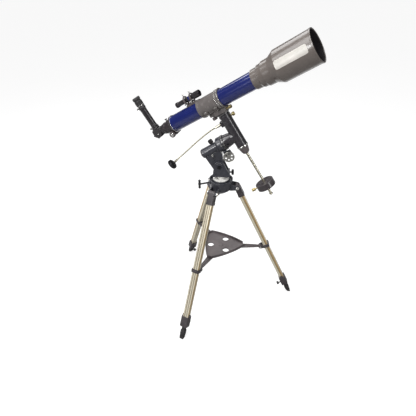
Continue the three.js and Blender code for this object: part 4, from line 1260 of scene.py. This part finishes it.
countersunk = fused(lathed([(0, 36), (2.2, 36), (2.6, 37.1), (1.6, 37.7), (0, 37.8)], 0.2),
                    less=[plate(box_outline(3.6, 0.7, 0.1), 37.2, 39, 0.02),
                          plate(box_outline(0.7, 3.6, 0.1), 37.2, 39, 0.02)])
tube_screw = shifted(countersunk.copy(), moved(z=TUBE_REAR + 9) @ ALONG_X)
screw_rows = shifted(row_of(tube_screw, 3, 120, chromed), turned_about("Z", -60))
piece("focuser_flange_screws", screw_rows, tube, "optical_tube", chromed)

# ------------------------------------------------------------------------------------------------
# Dew cap. Moulded in satin taupe plastic: a collar on the tube, a step, a flare and a long shield
# with a thin lip, lined matt black. A plain pale label with round corners is stuck on its side.

CAP_FRONT = 464
COLLAR = TUBE_FRONT + 0.3
CAP_LENGTH = CAP_FRONT - COLLAR

taupe_plastic = moulded_plastic("taupe_plastic", (0.120, 0.102, 0.092), (0.134, 0.115, 0.104),
                                0.22, 0.02, 0.35)
shield = lathed([(35, 0), (40.4, 0), (41, 1), (41.4, 26), (43, 29), (45.4, 32), (45.5, 36), (46.5, 46),
                 (47.5, 50), (50, 54), (50.5, 80), (51.6, 85), (64.6, 111), (65.5, 115),
                 (65.5, CAP_LENGTH - 6), (66.5, CAP_LENGTH - 5), (66.5, CAP_LENGTH), (63, CAP_LENGTH),
                 (62.5, CAP_LENGTH - 2), (61.5, 119), (46, 84), (46, 54), (38, 50), (37.5, 30), (35, 16)],
                1.0, closed=True, start=COLLAR, segments=160)
piece("dew_cap_moulding", shield, tube, "optical_tube", taupe_plastic, ["dew_cap"], crease=28)

matt_black = moulded_plastic("matt_black", (0.010, 0.008, 0.010), (0.016, 0.013, 0.016), 0.55, 0.05)
lining = lathed([(61.0, COLLAR + 121), (61.5, COLLAR + 121), (62.4, CAP_FRONT - 2.4),
                 (61.9, CAP_FRONT - 2.4)], closed=True, segments=160)
baffles = [lathed([(58.6, 0), (61.9, 0), (61.9, 1), (58.6, 0.6)], 0.2, closed=True, start=COLLAR + place)
           for place in (140, 165, 190, 215, 240)]
piece("dew_cap_lining", together(lining, *baffles), tube, "optical_tube", matt_black)

LABEL_TURN = -107
LABEL_HALF = 15
LABEL_START = COLLAR + 115
LABEL_END = CAP_FRONT - 22


def curved_label():
    """A thin label bent round the shield, with rounded corners."""
    half_width = math.radians(LABEL_HALF) * 65.5
    length = LABEL_END - LABEL_START
    outline = eased([(0, -half_width), (length, -half_width), (length, half_width), (0, half_width)], 9,
                    closed=True, steps=8)
    work = bmesh.new()
    flat = plate(outline, 0, 0.35, 0.1)
    work.from_mesh(flat)
    for cut in range(1, 16):
        y = -half_width + 2 * half_width * cut / 16
        whole = work.verts[:] + work.edges[:] + work.faces[:]
        bmesh.ops.bisect_plane(work, geom=whole, plane_co=(0, y, 0), plane_no=(0, 1, 0))
    for vertex in work.verts:
        along, across, proud = vertex.co
        angle = math.radians(LABEL_TURN) + across / 65.5
        radius = 65.5 + proud
        vertex.co = (radius * math.cos(angle), radius * math.sin(angle), LABEL_START + along)
    return mesh_from(work)


label_film = moulded_plastic("label_film", (0.56, 0.53, 0.49), (0.51, 0.49, 0.45), 0.30, 0.01)
piece("dew_cap_label", curved_label(), tube, "optical_tube", label_film)

# ------------------------------------------------------------------------------------------------
# Objective. A coated glass doublet in a black cell, held by a retaining ring with two key slots.

LENS_PLACE = 258
cell = lathed([(35.5, -2), (45.6, -2), (45.6, 15), (44.6, 16), (41.4, 16), (40, 13), (37.8, 12), (37.8, 2),
               (35.5, 2)], 0.4, closed=True, start=LENS_PLACE)
piece("objective_cell_turned", cell, tube, "optical_tube", matt_black, ["objective_cell"])
key_slots = [shifted(plate(box_outline(5, 2.4, 0.3), LENS_PLACE + 12.6, LENS_PLACE + 20, 0.05),
                     moved(x=38.6 * side)) for side in (-1, 1)]
retainer = fused(lathed([(35.6, 9.6), (37.6, 8.6), (40.4, 13.4), (40.2, 14.8),
                         (36, 14)], 0.3, closed=True, start=LENS_PLACE), less=key_slots)
piece("objective_retaining_ring", retainer, tube, "optical_tube", black_steel)


def coated_glass(name, tint, edge):
    """Glass with a bloomed coating that turns from one dark tint to another towards its edge."""
    finish = Finish(name)
    facing = finish.node("ShaderNodeLayerWeight", {}, {"Blend": 0.35}, output=1)
    film = finish.speckle(finish.own_place(), 25)
    return finish.surface(
        Base_Color=finish.between(facing * 0.8 + film * 0.2, (*tint, 1), (*edge, 1)),
        Roughness=film * 0.02 + 0.01,
        Specular_IOR_Level=0.9,
        Ior=1.6,
        Coat_Weight=1.0,
        Coat_Roughness=0.01,
    )


lens_glass = coated_glass("coated_glass", (0.012, 0.006, 0.022), (0.10, 0.05, 0.16))
dome = [(37.5 * math.sin(t), LENS_PLACE + 8 + 4 * math.cos(t))
        for t in (math.pi / 2 * (1 - k / 24) for k in range(25))]
lens = lathed([(0, LENS_PLACE + 2.3), (37.5, LENS_PLACE + 2.3), *dome[:-1], (0, LENS_PLACE + 12)])
piece("objective_glass", lens, tube, "optical_tube", lens_glass, ["objective_lens"])

# ------------------------------------------------------------------------------------------------
# Focuser. A moulded flange in the tube's end and a round body with a block under it for the pinion,
# closed by a plate with four screws. A bright ring trims the flange.

FOCUS_REAR = TUBE_REAR - 0.3
PINION = (34, FOCUS_REAR - 22)
FOCUS_LOCK = moved(z=FOCUS_REAR - 30) @ turned_about("Y", -90)

focus_barrel = lathed([(19.3, -58), (24, -58), (25.6, -57), (27, -54), (27, -48), (26, -47), (26, -20),
                       (28, -14), (38.6, -7), (40, -6), (40, 0), (19.3, 0)], 0.9, closed=True,
                      start=FOCUS_REAR)
pinion_block = shifted(plate(box_outline(26, 36, 4), FOCUS_REAR - 38, FOCUS_REAR - 8, 1.6), moved(31, 0, 0))
cover = shifted(plate(box_outline(26, 28, 3), 0, 1.6, 0.5), moved(44, 0, FOCUS_REAR - 23) @ ALONG_X)
tube_way = rod(19.3, FOCUS_REAR - 70, FOCUS_REAR + 2)
rack_way = plate([(14, -4), (22, -4), (22, 4), (14, 4)], FOCUS_REAR - 70, FOCUS_REAR + 2, 0.1)
pinion_way = shifted(rod(3.3, -40, 40), moved(PINION[0], 0, PINION[1]) @ turned_about("X", 90))
ring_groove = ring(26.4, 30, FOCUS_REAR - 52, FOCUS_REAR - 50)
lock_hub = shifted(rod(6, 22, 30, 0.6, top=5.4), FOCUS_LOCK)
focuser_plastic = moulded_plastic("focuser_plastic", (0.022, 0.018, 0.021), (0.034, 0.028, 0.032),
                                  0.30, 0.05, 0.2)
focuser = fused(focus_barrel, pinion_block, cover, lock_hub,
                less=[tube_way, rack_way, pinion_way, ring_groove])
piece("focuser_moulding", focuser, tube, "optical_tube", focuser_plastic, ["focuser_body"])

cover_screw = shifted(countersunk.copy(), moved(z=-36.2))
cover_place = moved(45.2, 0, FOCUS_REAR - 23) @ ALONG_X
cover_screws = [shifted(cover_screw.copy(), cover_place @ moved(x, y, 0)) for x in (-9, 9) for y in (-10, 10)]
piece("focuser_cover_screws", together(*cover_screws), tube, "optical_tube", chromed)
trim = lathed([(36.2, -1), (40.3, -1), (40.3, 2.2), (37.1, 2.2),
               (37.1, 0.2), (36.2, 0.2)], 0.4, closed=True, start=TUBE_REAR, segments=128)
piece("focuser_trim_ring", trim, tube, "optical_tube", chromed)
lock_screw_shape = fused(rod(2, 29, 34, 0.2), fluted_knob(5.5, 33, 40, 8, 0.6, 0.8))
piece("focuser_lock_screw", shifted(lock_screw_shape, FOCUS_LOCK), tube,
      "optical_tube", chromed)

# ------------------------------------------------------------------------------------------------
# Drawtube. Chromed brass with a toothed rack soldered underneath. A black moulded clamp ring is
# screwed on its rear end.

gloss_black = moulded_plastic("gloss_black", (0.018, 0.016, 0.018), (0.028, 0.025, 0.028), 0.20, 0.04, 0.3)
sleeve_ring = lathed([(19.1, -67), (23, -67), (24, -66), (24, -59.4), (19.1, -59.4)],
                    0.5, closed=True, start=TUBE_REAR)
piece("drawtube_clamp_ring", sleeve_ring, tube, "drawtube", gloss_black)
drawn = lathed([(16, -68), (18.4, -68), (19, -67), (19, 40), (16, 40)], 0.3, closed=True, start=TUBE_REAR)
rack = plate([(18, -3.4), (20.2, -3.4), (20.2, 3.4), (18, 3.4)], TUBE_REAR - 54, TUBE_REAR + 38, 0.15)
tooth = shifted(upright(plate([(20, 0), (21.5, 0.4), (21.5, 1.0), (20, 1.4)], -3.4, 3.4, 0.05)),
                moved(z=TUBE_REAR - 53))
teeth = row_of(tooth, 44, 0, chromed, rise=2.05)
piece("drawtube_chromed", together(fused(drawn, rack), teeth), tube, "drawtube", chromed, ["drawtube"])

# ------------------------------------------------------------------------------------------------
# Focus knobs. A steel pinion shaft across the focuser with a moulded knob on each end, ribbed round
# its edge, with a bright disc let into its face.

pinion_shaft = rod(3, -30, 30, 0.3)
wheel = lathed([(0, 22), (8, 22), (9, 24), (12.6, 24.4), (13.6, 26), (13.6, 36.4), (12.6, 38), (9.6, 38),
                (9, 37.2), (0, 37.2)], 0.6)
knobs = []
for side in (0, 180):
    rim = knurl(13.6, 26.4, 36.2, 32, (-0.6, 0.75), (0.7, 0.4), 0.2, tray_plastic)
    knobs.append(shifted(together(wheel.copy(), rim), turned_about("X", side)))
focus_place = joint_place("focus_knob_turn")
piece("focus_knob_pair", together(pinion_shaft, *knobs), focus_place, "focus_pinion", tray_plastic,
      ["focus_knobs"])
discs = [shifted(lathed([(0, 36.9), (8.4, 36.9), (8.4, 37.7), (7.6, 38), (0, 38)], 0.2),
                 turned_about("X", side)) for side in (0, 180)]
piece("focus_knob_discs", together(*discs), focus_place, "focus_pinion", chromed)

# ------------------------------------------------------------------------------------------------
# Star diagonal. A moulded wedge with a mirror plate screwed across its back, a nose in the drawtube
# and a collar for the eyepiece with a thumbscrew.

MIRROR = -346
wedge = upright(plate(eased([(-20, MIRROR - 19), (2, MIRROR - 21), (21, MIRROR - 2), (21, MIRROR + 20),
                             (-20, MIRROR + 20)], 2, closed=True), -19, 19, 1.8))
nose = lathed([(12, 17), (15.5, 17), (15.5, 46), (15, 47), (12, 47)], 0.3, closed=True, start=MIRROR)
shoulder = lathed([(12, 18), (19, 18), (19, 24), (18, 25), (12, 25)], 0.6, closed=True, start=MIRROR)
standing_tube = moved(z=MIRROR) @ turned_about("Y", -90)
collar_tube = shifted(lathed([(14.3, 18), (19.4, 18), (19.4, 26), (18.6, 27), (18.6, 33), (19.4, 34),
                              (19.4, 35), (14.3, 35)], 0.6, closed=True), standing_tube)
inlet = shifted(rod(12, 0, 60), moved(z=MIRROR))
outlet = shifted(rod(14.3, -6, 60), standing_tube)
mirror_axes = moved(12.6, 0, MIRROR - 12.6) @ turned_about("Y", 135)
mirror_plate = shifted(plate(box_outline(30, 40, 3), -1.2, 2.6, 0.8), mirror_axes)
diagonal = fused(wedge, nose, shoulder, collar_tube, mirror_plate, less=[inlet, outlet])
piece("diagonal_moulding", diagonal, tube, "diagonal", gloss_black, ["star_diagonal"])
plate_screws = [shifted(countersunk.copy(), mirror_axes @ moved(x, y, -34.9)) for x in (-10, 10)
                for y in (-15, 15)]
side_screws = [shifted(lathed([(0, 18), (2.4, 18), (2.4, 19.4), (1.8, 20.2), (0, 20.4)], 0.3),
                       moved(4, 0, MIRROR + 4) @ turned_about("X", side)) for side in (90, -90)]
piece("diagonal_screws", together(*plate_screws, *side_screws), tube, "diagonal", chromed)
thumb = fused(rod(1.8, 17, 24, 0.2), fluted_knob(4.2, 23, 31, 10, 0.5, 0.7))
piece("diagonal_thumbscrew", shifted(thumb.copy(), standing_tube @ moved(z=30) @ turned_about("Y", -90)),
      tube, "diagonal", chromed)

# ------------------------------------------------------------------------------------------------
# Amplifier tube. A long black tube with a lens at its foot stands in the diagonal; its wider top has
# a bright ring and a thumbscrew that holds the eyepiece.

eye_side = standing(tube @ Vector((-36, 0, MIRROR)), -axis_of("declination"), axis_of("tube_slide"))
long_tube = lathed([(11, -16), (14, -16), (14, 0.6), (15.5, 0.8), (15.5, 8), (15.0, 9), (15.0, 86),
                    (15.5, 87), (15.5, 92), (17.5, 94), (17.5, 102), (16.8, 103), (16.8, 105), (17.5, 106),
                    (17.5, 114), (14.3, 114), (14.3, 84), (11, 82)], 0.5, closed=True)
piece("amplifier_tube", long_tube, eye_side, "amplifier", gloss_black, ["barlow_tube"])
bright_band = ring(15.4, 17.8, 108, 112, 0.4)
piece("amplifier_ring", bright_band, eye_side, "amplifier", chromed)
piece("amplifier_thumbscrew", shifted(thumb.copy(), moved(z=101) @ turned_about("Y", -90) @ moved(z=-0.6)),
      eye_side, "amplifier", chromed)

# ------------------------------------------------------------------------------------------------
# Eyepiece. A chromed barrel under a black body, with a ribbed rubber grip and a soft eyecup round
# the eye lens.

eye_barrel = rod(14, 90, 114.2, 0.4)
piece("eyepiece_barrel", eye_barrel, eye_side, "ocular", chromed)
eye_body = lathed([(0, 114.3), (18.2, 114.3), (18.2, 117), (17.4, 118), (17.4, 130), (18.2, 131), (18.2, 132),
                   (16.5, 134), (16.5, 138), (19, 142), (18.4, 148), (17, 152), (13, 152), (11, 150.4),
                   (9, 148), (0, 148)], 0.7)
grip_knurl = knurl(17.4, 118.6, 129.6, 36, (-0.5, 0.7), (0.6, 0.5), 0.15, foot_rubber)
piece("eyepiece_body", together(eye_body, grip_knurl), eye_side, "ocular", foot_rubber, ["eyepiece"])
eye_dome = [(9 * math.sin(t), 147 + 2.2 * math.cos(t))
            for t in (math.pi / 2 * (1 - k / 12) for k in range(13))]
eye_lens = lathed([(0, 147.2), *eye_dome[:-1], (0, 149.2)], segments=64)
piece("eye_lens", eye_lens, eye_side, "ocular", lens_glass)

# ------------------------------------------------------------------------------------------------
# Finder bracket. A moulded foot bolted on the main tube, with two rings. Three screws through each
# ring hold the finder and aim it.

FINDER_HEIGHT = 64
FINDER_RINGS = (-124, -90)
finder = tube @ moved(x=-FINDER_HEIGHT)
rings = [lathed([(15, place - 4), (18.2, place - 4), (19, place - 3), (19, place + 3), (18.2, place + 4),
                 (15, place + 4)], 0.5, closed=True) for place in FINDER_RINGS]
bosses = [shifted(rod(3.6, 15.6, 21, 0.4, top=3.2), moved(z=place) @ turned_about("Z", turn) @ ALONG_X)
          for place in FINDER_RINGS for turn in (60, 180, 300)]
WEB_FOOT = FINDER_HEIGHT - TUBE_RADIUS - 3
web = upright(plate([(16, -128), (WEB_FOOT, -131), (WEB_FOOT, -83), (16, -86)], -4, 4, 1.0))
pad = shifted(plate(box_outline(12, 22, 3), -132, -82, 1.2), moved(x=FINDER_HEIGHT - TUBE_RADIUS))
under = shifted(lathed([(0, -140), (TUBE_RADIUS + 0.25, -140), (TUBE_RADIUS + 0.25, -74), (0, -74)],
                       segments=128), moved(x=FINDER_HEIGHT))
ways = [rod(15, place - 6, place + 6) for place in FINDER_RINGS]
bracket = fused(*rings, *bosses, web, pad, less=[under, *ways])
piece("finder_bracket_moulding", bracket, finder, "optical_tube", tray_plastic, ["finder_bracket"])
aim_screw = fused(rod(1.3, 13.2, 24, 0.2), fluted_knob(3.4, 23.4, 28.6, 10, 0.4, 0.6))
aim_screw = shifted(aim_screw, ALONG_X)
for name, place in zip(("rear", "front"), FINDER_RINGS):
    screws = shifted(row_of(aim_screw.copy(), 3, 120, chromed), moved(z=place) @ turned_about("Z", 60))
    piece(f"finder_{name}_screws", screws, finder, "optical_tube", chromed)
pad_nuts = [shifted(hex_head(5.5, 0, 2.6), moved(WEB_FOOT - 3.2, 8 * side, place) @ turned_about("Y", -90))
            for side in (-1, 1) for place in (-125, -89)]
piece("finder_foot_nuts", together(*pad_nuts), finder, "optical_tube", chromed)

# ------------------------------------------------------------------------------------------------
# Finder. A small black straight telescope with a wider shade at the front, a blue ring behind it,
# its own coated lens, and a knurled eyepiece that turns to focus.

finder_body = lathed([(0, -158), (10.5, -158), (10.5, -84), (12, -82), (14.0, -77), (14.4, -75), (14.4, -47),
                      (13.6, -46), (12.6, -46), (12.4, -58), (0, -58)], 0.5)
piece("finder_body", finder_body, finder, "optical_tube", gloss_black, ["finder_tube"])
blue_ring = ring(10.2, 11.6, -106, -99, 0.4)
piece("finder_blue_ring", blue_ring, finder, "optical_tube", blue)
finder_dome = [(12.2 * math.sin(t), -58.4 + 1.8 * math.cos(t))
               for t in (math.pi / 2 * (1 - k / 12) for k in range(13))]
piece("finder_lens", lathed([(0, -59), *finder_dome[:-1], (0, -56.6)], segments=64), finder, "optical_tube",
      lens_glass)
finder_eye = lathed([(0, -180), (8, -180), (11.4, -178.4), (11.6, -177), (11.6, -165), (11, -164), (9, -162),
                     (9, -158.4), (0, -158.4)], 0.5)
finder_knurl = knurl(11.6, -176.4, -165.6, 36, (-0.4, 0.6), (0.4, 0.35), 0.12, gloss_black)
piece("finder_eyepiece_knurled", together(finder_eye, finder_knurl), finder, "finder_focus",
      gloss_black, ["finder_eyepiece"])

# ------------------------------------------------------------------------------------------------
# Studio. A plain pale floor under a soft light overhead, with strips from the left and the right and
# a broad light behind. The room is bright above and dark low down, and the camera sees it pale.

low, high = (Vector(corner) for corner in cad_box)
work = bmesh.new()
bmesh.ops.create_grid(work, x_segments=1, y_segments=1, size=40)
floor_mesh = bpy.data.meshes.new("studio_floor")
work.to_mesh(floor_mesh)
work.free()
floor_finish = Finish("pale_floor")
floor_place = floor_finish.node("ShaderNodeTexCoord", output=3)
floor_cloud = floor_finish.speckle(floor_place, 3, 3)
seen_floor = floor_finish.surface(
    Base_Color=floor_finish.between(floor_cloud, (0.335, 0.335, 0.335, 1), (0.35, 0.35, 0.35, 1)),
    Roughness=0.9,
    Emission_Color=(1, 1, 1, 1),
    Emission_Strength=0.73,
)
tree = seen_floor.node_tree
out = next(node for node in tree.nodes if node.bl_idname == "ShaderNodeOutputMaterial")
shown, blend = (tree.nodes.new("ShaderNode" + kind) for kind in ("LightPath", "MixShader"))
behind = floor_finish.node("ShaderNodeSeparateXYZ", {}, {0: floor_place}, output=1)
felt_tone = floor_finish.between(floor_finish.spread(behind, 0, 1, 0.1, 0.9), (0.24, 0.24, 0.24, 1),
                                 (0.88, 0.88, 0.88, 1))
felt = floor_finish.node("ShaderNodeBsdfPrincipled", {}, {"Base Color": felt_tone, "Roughness": 0.9})
whole = out.inputs["Surface"].links[0].from_socket
for source, target in ((shown.outputs["Is Camera Ray"], blend.inputs[0]), (felt.socket, blend.inputs[1]),
                       (whole, blend.inputs[2]), (blend.outputs[0], out.inputs["Surface"])):
    tree.links.new(source, target)
floor_mesh.materials.append(seen_floor)
floor = bpy.data.objects.new("studio_floor", floor_mesh)
bpy.context.scene.collection.objects.link(floor)

bpy.context.scene.view_settings.view_transform = "Standard"
room = bpy.data.worlds.new("pale_room")
bpy.context.scene.world = room
room.use_nodes = True
wires = room.node_tree.links
shell, height, sky, camera_ray, pale, seen = (room.node_tree.nodes.new("ShaderNode" + kind) for kind in (
    "TexCoord", "SeparateXYZ", "ValToRGB", "LightPath", "Background", "MixShader"))
for place, grey in zip((0.0, 0.62, 0.80, 1.0), (0.10, 0.12, 1.10, 2.6)):
    stop = sky.color_ramp.elements[0] if place == 0 else sky.color_ramp.elements.new(place)
    stop.color = (grey, grey, grey, 1)
sky.color_ramp.elements.remove(sky.color_ramp.elements[-1])
lit = room.node_tree.nodes["Background"]
pale.inputs["Color"].default_value = (0.92, 0.92, 0.92, 1)
for source, target in ((shell.outputs["Generated"], height.inputs[0]), (height.outputs["Z"], sky.inputs[0]),
                       (sky.outputs[0], lit.inputs["Color"]),
                       (camera_ray.outputs["Is Camera Ray"], seen.inputs[0]),
                       (lit.outputs[0], seen.inputs[1]), (pale.outputs[0], seen.inputs[2]),
                       (seen.outputs[0], room.node_tree.nodes["World Output"].inputs[0])):
    wires.new(source, target)


def softbox(name, place, aim, width, height, power, tint=(1, 1, 1)):
    lamp = bpy.data.lights.new(name, "AREA")
    lamp.shape = "RECTANGLE"
    lamp.size = width
    lamp.size_y = height
    lamp.energy = power
    lamp.color = tint
    thing = bpy.data.objects.new(name, lamp)
    thing.location = place
    thing.rotation_mode = "QUATERNION"
    thing.rotation_quaternion = (Vector(aim) - Vector(place)).to_track_quat("-Z", "Y")
    bpy.context.scene.collection.objects.link(thing)


middle = (low + high) / 2
softbox("overhead_light", middle + Vector((-1.2, -0.6, 2.2)), middle, 1.6, 1.6, 40)
softbox("side_light", middle + Vector((2.2, -1.6, 0.9)), middle, 0.4, 1.8, 24)
softbox("rear_light", middle + Vector((-0.4, 1.7, 1.9)), middle, 2.6, 0.9, 26)
softbox("front_light", middle + Vector((-1.5, -2.0, 1.3)), middle, 0.35, 1.8, 46)

# The camera looks down from the front, a little to the right of the polar axis's plane.
AZIMUTH, ELEVATION, ROLL = (math.radians(angle) for angle in (4.2, 34.43, -0.99))
DISTANCE = 1.37 * (high.z - low.z) + 0.046
aim = low + Vector(((high - low).x * 0.4297, (high - low).y * 0.5344, (high - low).z * 0.393))
back = Vector((math.sin(AZIMUTH) * math.cos(ELEVATION), -math.cos(AZIMUTH) * math.cos(ELEVATION),
               math.sin(ELEVATION)))
camera = bpy.data.objects.new("camera", bpy.data.cameras.new("camera"))
camera.data.sensor_width = 36
camera.data.lens = 34.03
camera.rotation_mode = "QUATERNION"
camera.location = aim + back * DISTANCE
camera.rotation_quaternion = (-back).to_track_quat("-Z", "Y") @ Matrix.Rotation(ROLL, 3, "Z").to_quaternion()
bpy.context.scene.collection.objects.link(camera)
bpy.context.scene.camera = camera
